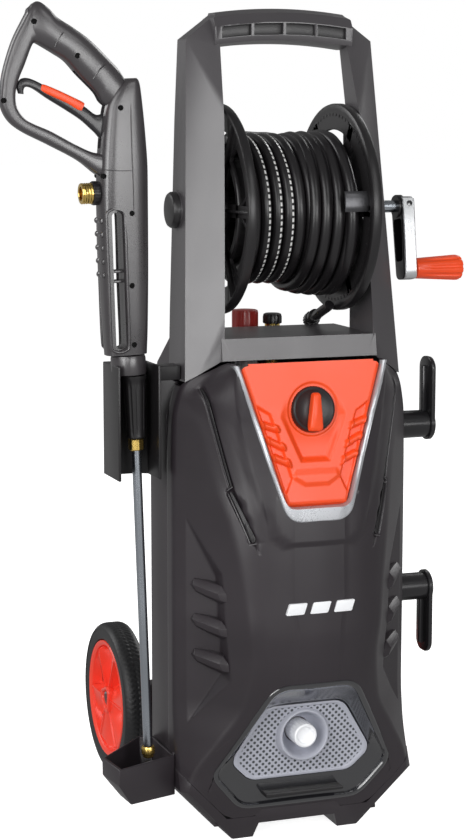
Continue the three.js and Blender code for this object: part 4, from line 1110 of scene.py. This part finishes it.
def flange(side, label):
    at, out = REEL, Vector((side, 0, 0))
    rim = [(105.5, 64.0), (110.2, 64.0), (111.4, 64.8), (112, 66.5), (112, 72.5), (111.2, 74.2),
           (109.4, 74.6),
           (107.4, 74.2), (106.6, 72.5), (106.4, 68.5), (101.5, 68.0), (101.2, 67.2), (101.2, 65.2),
           (101.6, 64.4)]
    parts = [ring_lathe(rim, at, out, 200)]
    boss = [(7.4, 64), (27.5, 64), (29, 65.4), (29.5, 69), (28.5, 72.4), (26.5, 74.2), (17, 75.4), (15.5, 80),
            (13, 82),
            (7.4, 82)]
    parts.append(ring_lathe(boss, at, out, 80))
    band = [(56, 64.2), (62.5, 64.2), (63, 65.0), (63, 67.4), (62.4, 68.2), (56, 68.2), (55.4, 67.4),
            (55.4, 65)]
    parts.append(ring_lathe(band, at, out, 120))
    annulus = [(84, 65.0), (85, 64.2), (102, 64.2), (102, 67.6), (85, 67.6), (84, 66.8)]
    parts.append(ring_lathe(annulus, at, out, 150))

    def placed(part, angle):
        about_x(part, angle, 0, 0)
        return transform(mirror_x(part) if side < 0 else part, Matrix.Translation(REEL))

    for k in range(6):
        angle = 60 * k + 30
        spoke = prism("x", rounded([(-7.5, 26), (7.5, 26), (6.0, 103.5), (-6.0, 103.5)], 0.4), 64.2, 68.2)
        rib = prism("x", [(-1.6, 26), (1.6, 26), (1.2, 103.5), (-1.2, 103.5)], 67.8, 72.6)
        parts += [placed(soften(spoke, 0.7, 2), angle), placed(soften(rib, 0.5, 2), angle)]
        for lean in (-1, 1):
            brace = prism("x", [(-2.2, 60), (2.2, 60), (2.2 + lean * 26, 104), (-2.2 + lean * 26, 104)], 64.4,
                          67.8)
            parts.append(placed(soften(brace, 0.5, 2), angle))
    tooth = ((-0.5, 98.6), (0.5, 98.6), (1.0, 101.6), (-1.0, 101.6))
    for k in range(72):
        parts.append(placed(hull([(x, y, z) for x in (63.7, 65.4) for y, z in tooth]), 5 * k))
    piece(f"reel_flange_{label}_spoked", join(*parts), "reel", "dark", [f"reel_flange_{label}"], angle=35)


def hose():
    """The wound hose as one line: two full layers, then a few slacker turns at the right."""
    path = []
    per_turn = 72

    def layer(x0, x1, radius0, radius1, turns, phase, hang=0.0):
        count = int(turns * per_turn)
        for i in range(count):
            t = i / count
            a = phase + 2 * math.pi * i / per_turn
            wobble = 0.5 * math.sin(3.1 * a / 6 + radius0)
            radius = radius0 + (radius1 - radius0) * t
            path.append(Vector((x0 + (x1 - x0) * t + 0.35 * math.sin(a * 0.7),
                                REEL.y + (radius + wobble * 0.4)
                                * math.sin(a), REEL.z + (radius + wobble * 0.4) * math.cos(a)
                                - hang * (radius - 74.6) * float(step(np.array(i), 0, 60)))))
        return phase + 2 * math.pi * turns

    phase = layer(-57.0, 57.0, 63.8, 63.8, 9.0, 0.0)
    phase = layer(56.8, -56.8, 74.6, 74.6, 9.0, phase)
    phase = layer(-56.0, -4.0, 75.6, 79.0, 0.06, phase)
    phase = layer(2.0, 56.6, 80.5, 84.0, 4.2, phase, 0.75)
    phase = layer(56.4, 44.0, 87.0, 89.0, 1.1, phase, 0.75)
    smooth = curve_through(path, len(path))
    section_points = circle(6.15, 12)
    bm = bmesh.new()
    layer_uv = bm.loops.layers.uv.new("wrap")
    rings, length = [], 0.0
    lengths = []
    for i, p in enumerate(smooth):
        ahead = smooth[min(i + 1, len(smooth) - 1)]
        behind = smooth[max(i - 1, 0)]
        d = (ahead - behind).normalized()
        outward = Vector((0, p.y - REEL.y, p.z - REEL.z)).normalized()
        across = d.cross(outward).normalized()
        outward = across.cross(d).normalized()
        rings.append([bm.verts.new(p + across * a + outward * b) for a, b in section_points])
        if i:
            length += (p - smooth[i - 1]).length / 1000
        lengths.append(length)
    for k in range(len(rings) - 1):
        for i in range(12):
            j = (i + 1) % 12
            f = bm.faces.new((rings[k][i], rings[k][j], rings[k + 1][j], rings[k + 1][i]))
            around = {0: i / 12, 1: (i + 1) / 12, 2: (i + 1) / 12, 3: i / 12}
            along = {0: lengths[k], 1: lengths[k], 2: lengths[k + 1], 3: lengths[k + 1]}
            for c, loop in enumerate(f.loops):
                loop[layer_uv].uv = (around[c] - 0.13, along[c])
    bm.faces.new(rings[0][::-1])
    bm.faces.new(rings[-1])
    bmesh.ops.recalc_face_normals(bm, faces=bm.faces)
    return bm


def reel_pieces():
    flange(-1, "left")
    flange(1, "right")
    piece("hose_wound", hose(), "reel", "rubber", ["hose_coil"], angle=60)
    strap = []
    for k in range(13):
        a = math.radians(84 + (k - 6) * 1.05)
        bulge = 97.2 + 1.5 * (1 - ((k - 6) / 6) ** 4)
        strap.append([Vector((x, REEL.y - r * math.sin(a), REEL.z + r * math.cos(a)))
                      for x, r in ((38.5, bulge - 1.6), (63.8, bulge - 1.6), (64.2, bulge),
                                   (62.5, bulge + 0.6),
                                   (52, bulge + 0.9), (40, bulge + 0.6), (38, bulge))])
    piece("hose_clip_strap", skin(strap), "reel", "grey", ["hose_clip"], material=MATERIALS["alloy_dark"])
    cap = [(0.01, 124.6), (14, 124.4), (17.5, 123.4), (19.2, 121), (19.5, 116.4), (0.01, 116.4)]
    piece("reel_end_cap_dome", lathe(cap[::-1], REEL, (-1, 0, 0), 64), "root", "dark", ["reel_end_cap"])
    route = curve_through([(56, -104, 575.6), (56, -99, 572.8), (57, -80, 566.5), (60, -58, 560),
                           (64, -40, 557),
                           (67, -28, 553), (68.5, -22, 551.6)], 40)
    tail = sweep(route, lambda i, t: circle(5.45, 16), up=(1, 0, 0))
    ferrule = lathe([(0.01, -3), (6.9, -3), (7.3, -2), (7.3, 11), (6.6, 12), (0.01, 12)], (62.2, -47, 558.4),
                    Vector((4, 18, -4.5)), 40)
    nut = lathe([(0.01, 0), (8.2, 0), (9, 1), (9, 16.5), (8.2, 17.5), (0.01, 17.5)], (66.6, -29, 553.4),
                Vector((4.4, 17, -3.9)), 90, grooves(18, 0.6, lambda r, s: 1 <= s <= 16.5 and r > 8.5))
    piece("hose_tail_line", join(tail, ferrule, nut), "root", "rubber", ["hose_tail"])


def crank_pieces():
    x, width, reach = 141.0, 15.5, 69.0

    def place(bm):
        return transform(bm, Matrix.Translation(REEL) @ Matrix.Rotation(math.radians(-9), 4, "X"))

    outline = rounded([(-15, 10), (15, 10), (12, -reach - 12), (-12, -reach - 12)], 8, 8)
    arm = soften(prism("x", outline, x, x + width), 1.6, 3)
    hollow = prism("x", rounded([(-11, -14), (11, -14), (9, -reach + 8), (-9, -reach + 8)], 5), x - 1,
                   x + width - 3)
    arm = combine(arm, hollow)
    boss = lathe([(0.01, -2), (12, -2), (12.6, -1), (12.6, 5), (0.01, 5)], (x, 0, 0), (1, 0, 0), 48)
    piece("crank_arm_box", place(join(arm, boss)), "reel", "dark", ["crank_arm"])
    front = []
    for z, dy in ((9.2, 2.2), (7.5, 0.5), (3, 0), (-20, 0.55), (-45, 1.1), (-70, 1.9), (-76.5, 2.6),
                  (-79.4, 4.4),
                  (-80.6, 7.5)):
        y = -15.2 + dy
        front.append([Vector((px, y + py, z)) for px, py in
                      ((x + 0.6, 1.4), (x + 0.8, 0.2), (x + 1.8, -0.6), (x + width - 1.8, -0.6),
                       (x + width - 0.8, 0.2),
                       (x + width - 0.6, 1.4))])
    plate = skin(front)
    pin = lathe([(0.01, 0), (3.0, 0), (3.2, 0.5), (3.0, 1.2), (0.01, 1.4)], (x + width * 0.55, -15.6, 1.5),
                (0, -1, 0), 24)
    piece("crank_arm_plate", place(plate), "reel", "silver", material=MATERIALS["brushed"])
    piece("crank_arm_screw", place(pin), "reel", "gloss")

    def flutes(r, along, angle):
        share = min(1.0, max(0.0, (along - 162) / 20))
        return r - (1.3 * share * max(0.0, math.cos(angle * 9)) ** 0.8 if 10 < r else 0)

    grip = [(3.7, 157.3), (9.5, 157.3), (11.2, 158.4), (11.4, 161)]
    grip += [(11.4 + 2.7 * t, 161 + 46 * t) for t in np.linspace(0.1, 1, 10)]
    grip += [(14.0, 209.5), (13.2, 212.3), (11.2, 213.6), (5.5, 214), (5.0, 213), (3.7, 212.6)]
    piece("crank_grip_fluted", place(ring_lathe(grip, (0, 0, -reach), (1, 0, 0), 144, flutes)),
          "crank_handle", "red",
          ["crank_grip"], material=MATERIALS["orange"])


# ---------------------------------------------------------------- hooks, holder and cup

def hook(z, direction, label):
    y = -86.0
    stub = lathe([(0.01, 135.3), (17.2, 135.3), (17.2, 137.5), (15.6, 139.5), (15.4, 178), (15.4, 181.5),
                  (0.01, 181.5)],
                 (0, y, z), (1, 0, 0), 64)
    outline = [(y - 17, z - direction * 6), (y + 17, z - direction * 6), (y + 17, z + direction * 68),
               (y + 9, z + direction * 76), (y - 9, z + direction * 76), (y - 17, z + direction * 68)]
    if direction < 0:
        outline = outline[::-1]
    leaf = soften(prism("x", rounded(outline, [16, 16, 5, 5, 5, 5], 8), 181, 186), 1.2, 3)
    rib = soften(box(176, 182, y - 3, y + 3, min(z, z + direction * 66), max(z, z + direction * 66)), 0.8, 2)
    disc = lathe([(0.01, 180.6), (17.4, 180.6), (18.2, 181.4), (18.2, 185.4), (17.2, 186.4), (0.01, 186.4)],
                 (0, y, z), (1, 0, 0), 64)
    piece(f"cord_hook_{label}_arm", join(stub, leaf, rib, disc), f"hook_{label}", "dark",
          [f"cord_hook_{label}"],
          material=MATERIALS["satin"])


def holder_pieces():
    piece("gun_holder_trough", soften(copy_of("gun_holder"), 1.0, 3), "root", "dark", ["gun_holder"])
    piece("lance_cup_moulding", soften(copy_of("lance_cup"), 1.2, 3), "root", "shell", ["lance_cup"])
    corners = ((-134.6, 96), (-137.5, 96), (-134.6, 76), (-137.5, 76))
    plate = hull([(x, y, z) for x, z in corners for y in (-136, -118)])
    bracket = join(soften(plate, 0.6, 2), soften(box(-137, -134.2, -136, -133, 70, 100), 0.6, 2))
    piece("cup_clip", bracket, "root", "shell")


# ---------------------------------------------------------------- spray gun

def gun_place(bm):
    move = Matrix.Translation((GUN["x"], GUN["y"], GUN["z"])) @ Matrix.Rotation(math.radians(GUN["lean"]), 4,
                                                                                "Y")
    return transform(bm, move @ Matrix.Diagonal((-1, 1, 1, 1)))


def oval(half_u, half_y, power, count=36):
    out = []
    for i in range(count):
        a = 2 * math.pi * i / count
        c, s = math.cos(a), math.sin(a)
        out.append((half_u * math.copysign(abs(c) ** (2 / power), c),
                    half_y * math.copysign(abs(s) ** (2 / power), s)))
    return out


def limb(stations, power, samples, squeeze=1.0):
    """A limb of the gun between pairs of outline points, each (outer, inner, depth)."""
    outer = curve_through([(a[0], 0, a[1]) for a, b, d in stations], samples)
    inner = curve_through([(b[0], 0, b[1]) for a, b, d in stations], samples)
    depth = curve_through([(d, 0, 10 * k) for k, (a, b, d) in enumerate(stations)], samples)
    rings = []
    for a, b, d in zip(outer, inner, depth):
        middle, half = (a + b) / 2, (a - b) / 2
        direction = half.normalized()
        rings.append([middle + direction * (p * squeeze) + Vector((0, q, 0)) for p,
                      q in oval(half.length, d.x, power)])
    return skin(rings)


GUN_SCREWS = [(92.6, 785.7, 10.2), (49.6, 750.5, 12.4), (7.1, 696.8, 14.2), (27.4, 628, 11),
              (-0.2, 588.8, 15.4),
              (2.5, 514, 14.4), (2, 452, 12.6), (127, 708, 6)]


def gun_shell():
    levels = [(441.3, 29.5, -14.5, 14.5), (470, 30.5, -16.5, 16), (520, 31.5, -19, 17),
              (560, 31.8, -20.5, 17.5),
              (600, 31.2, -21.8, 18), (630, 29.8, -22.6, 18), (655, 27.5, -21.8, 17.6),
              (680, 24.2, -20.4, 17),
              (698, 21, -19, 16.4), (710, 15, -18, 15.6), (718, 8.5, -17, 14.6), (723, 2, -16, 13.4),
              (726.5, -4, -14.5, 11.5)]
    left = curve_through([(w, 0, a) for w, a, b, d in levels], 60)
    right = curve_through([(w, 0, b) for w, a, b, d in levels], 60)
    deep = curve_through([(w, 0, d) for w, a, b, d in levels], 60)
    rings = []
    for a, b, c in zip(left, right, deep):
        middle, half = (a.z + b.z) / 2, (a.z - b.z) / 2
        rings.append([Vector((middle + p, q, a.x)) for p, q in oval(half, c.z, 3.2, 48)])
    barrel = skin(rings)
    grip = limb([((-4, 723), (12, 693), 12.5), ((3, 735), (24.5, 702), 13), ((12.4, 745.5), (31, 713), 13.4),
                 ((32.7, 766), (48, 731), 14.2), ((50, 779), (60.5, 745.5), 14.6),
                 ((66, 789.5), (73, 754), 14.2),
                 ((75, 799), (87, 762.5), 13.6), ((86, 806), (97, 768), 12), ((97, 799), (100, 775), 8)], 2.5,
                 70)
    guard = limb([((80, 803), (80, 771), 9), ((91, 804), (87, 764), 10), ((103.5, 786), (93.5, 763), 9.5),
                  ((115, 765), (103, 742), 8.6), ((125, 737), (110, 727), 8.4),
                  ((129, 715), (113.5, 713.5), 8.4),
                  ((129, 702), (112.4, 700), 8.4), ((122, 687.5), (105, 689), 8.4),
                  ((108, 676), (95, 683), 8.2),
                  ((82.5, 662.5), (77.5, 675), 8), ((52, 645.5), (52, 660.5), 8.6),
                  ((34, 631), (33, 652), 10),
                  ((16, 618), (16, 652), 11)], 3.4, 90)
    shell = combine(combine(barrel, grip, "UNION"), guard, "UNION")
    window = rounded([(7.6, 446.5), (27.5, 446.5), (26.5, 593), (7.0, 593)], [8, 8, 9.5, 9.5], 8)
    opening = prism("y", rounded([(8.8, 448), (20, 448), (19.2, 590), (8.4, 590)], 5, 6), -40, 40)
    shell = combine(shell, opening)
    hollow = prism("y", window, -40, -9.5)
    hollow_back = prism("y", window, 9.5, 40)
    shell = combine(combine(shell, hollow), hollow_back)
    slot = [(-9, 676), (-9, 704), (2, 716), (20, 722), (50, 745), (60, 690), (26, 655), (6, 676)]
    shell = combine(shell, prism("y", slot, -5.2, 5.2))
    for u, w, depth in GUN_SCREWS:
        for s in (-1, 1):
            recess = lathe([(0.01, 0), (2.9, 0), (3.1, 12), (0.01, 12)], (u, s * depth, w), (0, s, 0), 20)
            shell = combine(shell, recess)
    return shell


def gun_pieces():
    whole = gun_shell()
    for node, sign in (("gun_shell_front", -1), ("gun_shell_rear", 1)):
        keep = box(-60, 160, min(sign * 0.15, sign * 60), max(sign * 0.15, sign * 60), 400, 860)
        half = combine(whole, keep, "INTERSECT")
        extra = [half]
        lip = curve_through([(7.6, 0, 520), (7.2, 0, 582), (9.5, 0, 591.5), (17, 0, 594.5), (24.6, 0, 591.5),
                             (27, 0, 582),
                             (27.4, 0, 520), (27.6, 0, 456), (25, 0, 447.6), (17.5, 0, 445), (10, 0, 447.6),
                             (7.8, 0, 456),
                             (7.6, 0, 519)], 120)
        for p in lip:
            p.y = sign * (15.6 + 1.4 * math.sin((p.z - 440) / 155 * math.pi))
        extra.append(sweep(lip[:-1], lambda i, t: circle(1.7, 10), up=(0, 1, 0), closed=True))
        for w in (518.3, 528.7):
            near, far = sorted((sign * 0.2, sign * 9))
            extra.append(soften(box(7.4, 21, near, far, w - 1.2, w + 1.2), 0.4, 2))
        for k in range(5):
            w = 526 + 14 * k
            bump = [(0.01, 0.2), (3.0, 0.2), (3.4, 1), (3.4, 9.5), (2.2, 11), (0.01, 11.2)]
            extra.append(lathe(bump, (29.6, 0, w), (0, sign, 0), 24))
        for a, b in (((59, 779.5), (72, 764)), ((36.6, 764), (49, 749)), ((17, 744.5), (33, 730.5))):
            ring = curve_through([(a[0] + 1.5, sign * 1, a[1] + 4), (a[0] + 1.2, sign * 8.2, a[1] - 0.4),
                                  ((a[0] * 2 + b[0]) / 3, sign * 12.9, (a[1] * 2 + b[1]) / 3),
                                  ((a[0] + b[0] * 2) / 3, sign * 13.7, (a[1] + b[1] * 2) / 3),
                                  (b[0] + 0.6, sign * 12.0, b[1] - 4)], 24)
            extra.append(sweep(ring, lambda i, t: circle(0.75, 8), up=(0.6, 0.2, 0.8)))
        seam = curve_through([(27.4, sign * 13.2, 634.8), (24, sign * 16.4, 634.2), (12, sign * 17.9, 633),
                              (3, sign * 17.9, 632.6),
                              (-2.6, sign * 17.6, 632.4)], 24)
        extra.append(sweep(seam, lambda i, t: circle(0.5, 8), up=(0, 1, 0.2)))
        ridge = curve_through([(-4.4, sign * 13.4, 718), (-3.4, sign * 17.0, 690), (-2.6, sign * 17.9, 650),
                               (-2.6, sign * 18.0, 620),
                               (-2.2, sign * 17.6, 592)], 40)
        extra.append(sweep(ridge, lambda i, t: circle(0.6, 8), up=(0, 1, 0)))
        half = gun_place(join(*extra))
        piece(f"{node}_half", half, "gun", "frame", [node], angle=38, material=MATERIALS["gun"])
        heads = [lathe([(0.01, 0.3), (1.1, 0.3), (1.3, 1.1), (2.6, 1.1), (2.8, 0.7), (2.8, -0.4),
                        (0.01, -0.4)],
                       (u, sign * depth, w), (0, sign, 0), 20) for u, w, depth in GUN_SCREWS]
        piece(f"{node}_screws", gun_place(join(*heads)), "gun", "dark", material=MATERIALS["pit"])


def trigger_pieces():
    lever = limb([((0, 697), (0, 683), 4.4), ((10, 698.5), (11, 681), 4.4), ((22, 692), (22, 664.5), 4.4),
                  ((30, 691), (33, 674), 4.4), ((42, 700), (46, 686), 4.6), ((58, 709), (62, 697), 5),
                  ((78, 719.5), (80, 708.5), 5),
                  ((92, 727), (94, 718.5), 4.8), ((101, 730), (101, 721), 4.6),
                  ((107.5, 728.5), (103.5, 720), 4.6),
                  ((111.5, 722), (104.5, 717.5), 4.4), ((109.8, 714.5), (104.5, 713.8), 3.4)], 3.0, 80)
    piece("trigger_lever_bow", gun_place(lever), "trigger_lever", "dark", ["trigger"],
          material=MATERIALS["satin"])
    pad = limb([((41.5, 702.5), (46, 694.5), 5.6), ((44, 704.6), (50, 695.6), 6.4),
                ((56, 710.6), (60, 702.2), 6.6),
                ((70, 717.4), (74, 709.2), 6.6), ((82, 722.6), (85, 714.6), 6.2),
                ((86, 723), (87.5, 716.5), 4.8)], 3.6, 40)
    piece("trigger_pad_grip", gun_place(pad), "trigger_lever", "orange", ["trigger_pad"])


def lance_pieces():
    def turned(name, profile, at, direction, slot, node, sides=64, radius=None, material=None):
        bm = gun_place(lathe(profile, at, direction, sides, radius))
        piece(name, bm, "gun", slot, [node], material=material)

    turned("inlet_collar_ring", [(8, -1), (11.6, -1), (12.4, 0), (12.6, 5), (11.8, 6.4), (8, 6.6)],
           (31, 0, 610.5), (1, 0, 0),
           "dark", "inlet_collar", 80, grooves(20, 0.35, lambda r, s: r > 12))

    def thread(r, along, angle):
        cut = 0.55 * (0.5 + 0.5 * math.cos((along * 2 * math.pi / 2.6) + angle))
        return r - (cut if r > 9.5 and 2 < along < 11 else 0)

    brass = [(0.01, 0.2), (10.6, 0.2), (11, 0.8)] + [(11, a) for a in np.linspace(1.2, 11, 18)]
    brass += [(10.4, 11.9), (7.6, 12), (7.2, 11.4), (7.0, 3), (0.01, 3)]
    turned("hose_inlet_thread", brass, (37.2, 0, 610.5), (1, 0, 0), "brass", "hose_inlet", 64, thread)

    turned("lance_collar_ring", [(0.01, 419.4), (16.6, 419.4), (18.0, 420.2), (18.5, 422), (18.5, 437),
                                 (17.6, 440), (0.01, 441)],
           (5, 0, 0), (0, 0, 1), "frame", "lance_collar", 64, material=MATERIALS["gun"])

    def ridges(r, along, angle):
        return r - (0.6 * (math.cos(angle * 10) < -0.2) if 357 < along < 410 and r > 9.6 else 0)

    grip = [(0.01, 351.4), (9.2, 351.4), (10, 352.6)]
    grip += [(10 + 2.4 * t, 353 + 60 * t) for t in np.linspace(0, 1, 14)]
    grip += [(13.4, 415), (13.6, 418), (0.01, 419)]
    turned("lance_grip_ribbed", grip, (0, 0, 0), (0, 0, 1), "dark", "lance_grip", 80, ridges)

    def hexagon(r, along, angle):
        flat = 0.93 / math.cos(((angle + math.pi / 6) % (math.pi / 3)) - math.pi / 6)
        return r * min(1.0, flat) if r > 6 else r

    turned("lance_nut_hex", [(0.01, 338.4), (7.4, 338.4), (8.2, 339.4), (8.2, 349.8), (7.4, 350.9),
                             (0.01, 351)],
           (0, 0, 0), (0, 0, 1), "brass", "lance_nut", 72, hexagon)
    tube_path = [Vector((0, 0, w)) for w in np.linspace(13.4, 338, 60)]
    tube = sweep(tube_path, lambda i, t: circle(5.0, 48), up=(0, 1, 0))
    piece("lance_tube_drawn", gun_place(tube), "gun", "steel", ["lance_tube"])
    turned("lance_nozzle_tip", [(0.01, 1.5), (1.6, 1.5), (2.2, 0.2), (5.0, 0.2), (5.8, 1.2), (6.0, 3.4),
                                (7.2, 4.6), (7.4, 11),
                                (6.6, 12.6), (0.01, 13)], (0, 0, 0), (0, 0, 1), "brass", "lance_nozzle", 64)


# ---------------------------------------------------------------- back of the body

def back_pieces():
    cap = [(0.01, 540.2), (14.2, 540.2), (15, 541.2), (15, 559.5), (14.4, 562), (12.8, 562.9), (0.01, 563)]
    flutes = grooves(12, 0.9, lambda r, s: r > 13 and 542 < s < 560)
    # The tank cap takes the darker copy of the red plastic: painted shade.
    piece("tank_cap_knob", lathe(cap, (-3, 2, 0), (0, 0, 1), 96, flutes), "filler_cap", "red", ["tank_cap"],
          material=MATERIALS["cap"])
    knob = [(0.01, 546.4), (10.4, 546.4), (11, 547.2), (11, 554), (10, 557), (8, 557.9), (0.01, 558)]
    grip = grooves(10, 0.6, lambda r, s: r > 10.5)
    piece("outlet_cap_knob", lathe(knob, (30, 2, 0), (0, 0, 1), 72, grip), "root", "dark", ["outlet_cap"])


body_pieces()
panel_pieces()
inlet_pieces()
for side, label in ((-1, "left"), (1, "right")):
    tyre(side, label)
    rim(side, label)
    hub(side, label)
reel_pieces()
crank_pieces()
hook(436.0, 1, "upper")
hook(249.0, -1, "lower")
holder_pieces()
gun_pieces()
trigger_pieces()
lance_pieces()
back_pieces()

CARRIED = {
    "switch_body": "dark", "inlet_adapter": "dark", "motor": "alloy", "motor_fan": "dark",
    "wobble_housing": "alloy",
    "pump_head": "alloy", "unloader_valve": "brass", "inlet_pipe": "tyre", "outlet_pipe": "tyre",
    "detergent_tank": "white", "outlet_coupling": "brass", "cord_gland": "tyre", "wheel_axle": "steel",
    "reel_drum": "dark", "reel_axle": "steel", "crank_spindle": "steel", "trigger_pin": "steel",
    "gun_valve": "brass",
}
for name, slot in CARRIED.items():
    node = frame["nodes"][name]
    node.data.materials.clear()
    node.data.materials.append(MATERIALS[slot])


# ---------------------------------------------------------------- floor, light and camera

def studio():
    scene = bpy.context.scene
    scene.view_settings.view_transform = "Standard"
    world = bpy.data.worlds.new("studio")
    scene.world = world
    world.use_nodes = True
    tree = world.node_tree
    sky = tree.nodes["Background"]
    split = tree.nodes.new("ShaderNodeSeparateXYZ")
    tree.links.new(tree.nodes.new("ShaderNodeTexCoord").outputs["Generated"], split.inputs[0])
    seen = maths(tree, "MAXIMUM", ramp(tree, split.outputs[2], -0.05, 0.05, 0.40, 0.20),
                 tree.nodes.new("ShaderNodeLightPath").outputs["Is Camera Ray"])
    tree.links.new(seen, sky.inputs[1])
    sky.inputs[0].default_value = (1, 1, 1, 1)

    floor_bm = bmesh.new()
    bmesh.ops.create_grid(floor_bm, x_segments=8, y_segments=8, size=30)
    mesh = bpy.data.meshes.new("floor")
    floor_bm.to_mesh(mesh)
    floor = bpy.data.objects.new("floor", mesh)
    scene.collection.objects.link(floor)
    material = bpy.data.materials.new("floor_white")
    tree = nodes_of(material)
    out = tree.nodes.new("ShaderNodeOutputMaterial")
    shader = tree.nodes.new("ShaderNodeBsdfPrincipled")
    shader.inputs["Base Color"].default_value = (0.85, 0.85, 0.85, 1)
    shader.inputs["Roughness"].default_value = 0.9
    shader.inputs["Specular IOR Level"].default_value = 0.0
    shader.inputs["Emission Color"].default_value = (1, 1, 1, 1)
    shader.inputs["Emission Strength"].default_value = 0.84
    tree.links.new(shader.outputs[0], out.inputs[0])
    mesh.materials.append(material)
    floor.visible_glossy = False
    floor.visible_diffuse = False

    def lamp(name, around, height, size, strength):
        a, e = math.radians(around), math.radians(height)
        away = Vector((math.sin(a) * math.cos(e), -math.cos(a) * math.cos(e), math.sin(e)))
        light = bpy.data.lights.new(name, "AREA")
        light.shape = "SQUARE"
        light.size = size
        light.energy = math.pi * size * size * strength
        obj = bpy.data.objects.new(name, light)
        obj.location = Vector((0, 0, 0.45)) + away * 3.0
        obj.rotation_euler = (-away).to_track_quat("-Z", "Y").to_euler()
        scene.collection.objects.link(obj)

    lamp("softbox_front", -22, 12, 0.7, 5.5)
    lamp("softbox_right", 20, 8, 0.8, 6.0)
    lamp("softbox_left", -52, 22, 1.8, 3.6)
    lamp("softbox_low_left", -45, 4, 0.7, 7.0)
    lamp("softbox_centre", 4, 8, 0.8, 7.0)
    lamp("softbox_high", 18, 34, 1.0, 2.0)
    lamp("softbox_back_left", -130, 28, 1.6, 4.0)
    lamp("softbox_back_right", 120, 28, 1.6, 4.0)

    camera = bpy.data.cameras.new("camera")
    camera.lens = CAMERA["lens"]
    camera.sensor_width = 36
    eye = bpy.data.objects.new("camera", camera)
    back = Vector(CAMERA["back"])
    eye.location = Vector(CAMERA["target"]) + back * CAMERA["distance"]
    eye.rotation_euler = (-back).to_track_quat("-Z", "Y").to_euler()
    camera.clip_end = 100
    scene.collection.objects.link(eye)
    scene.camera = eye


studio()
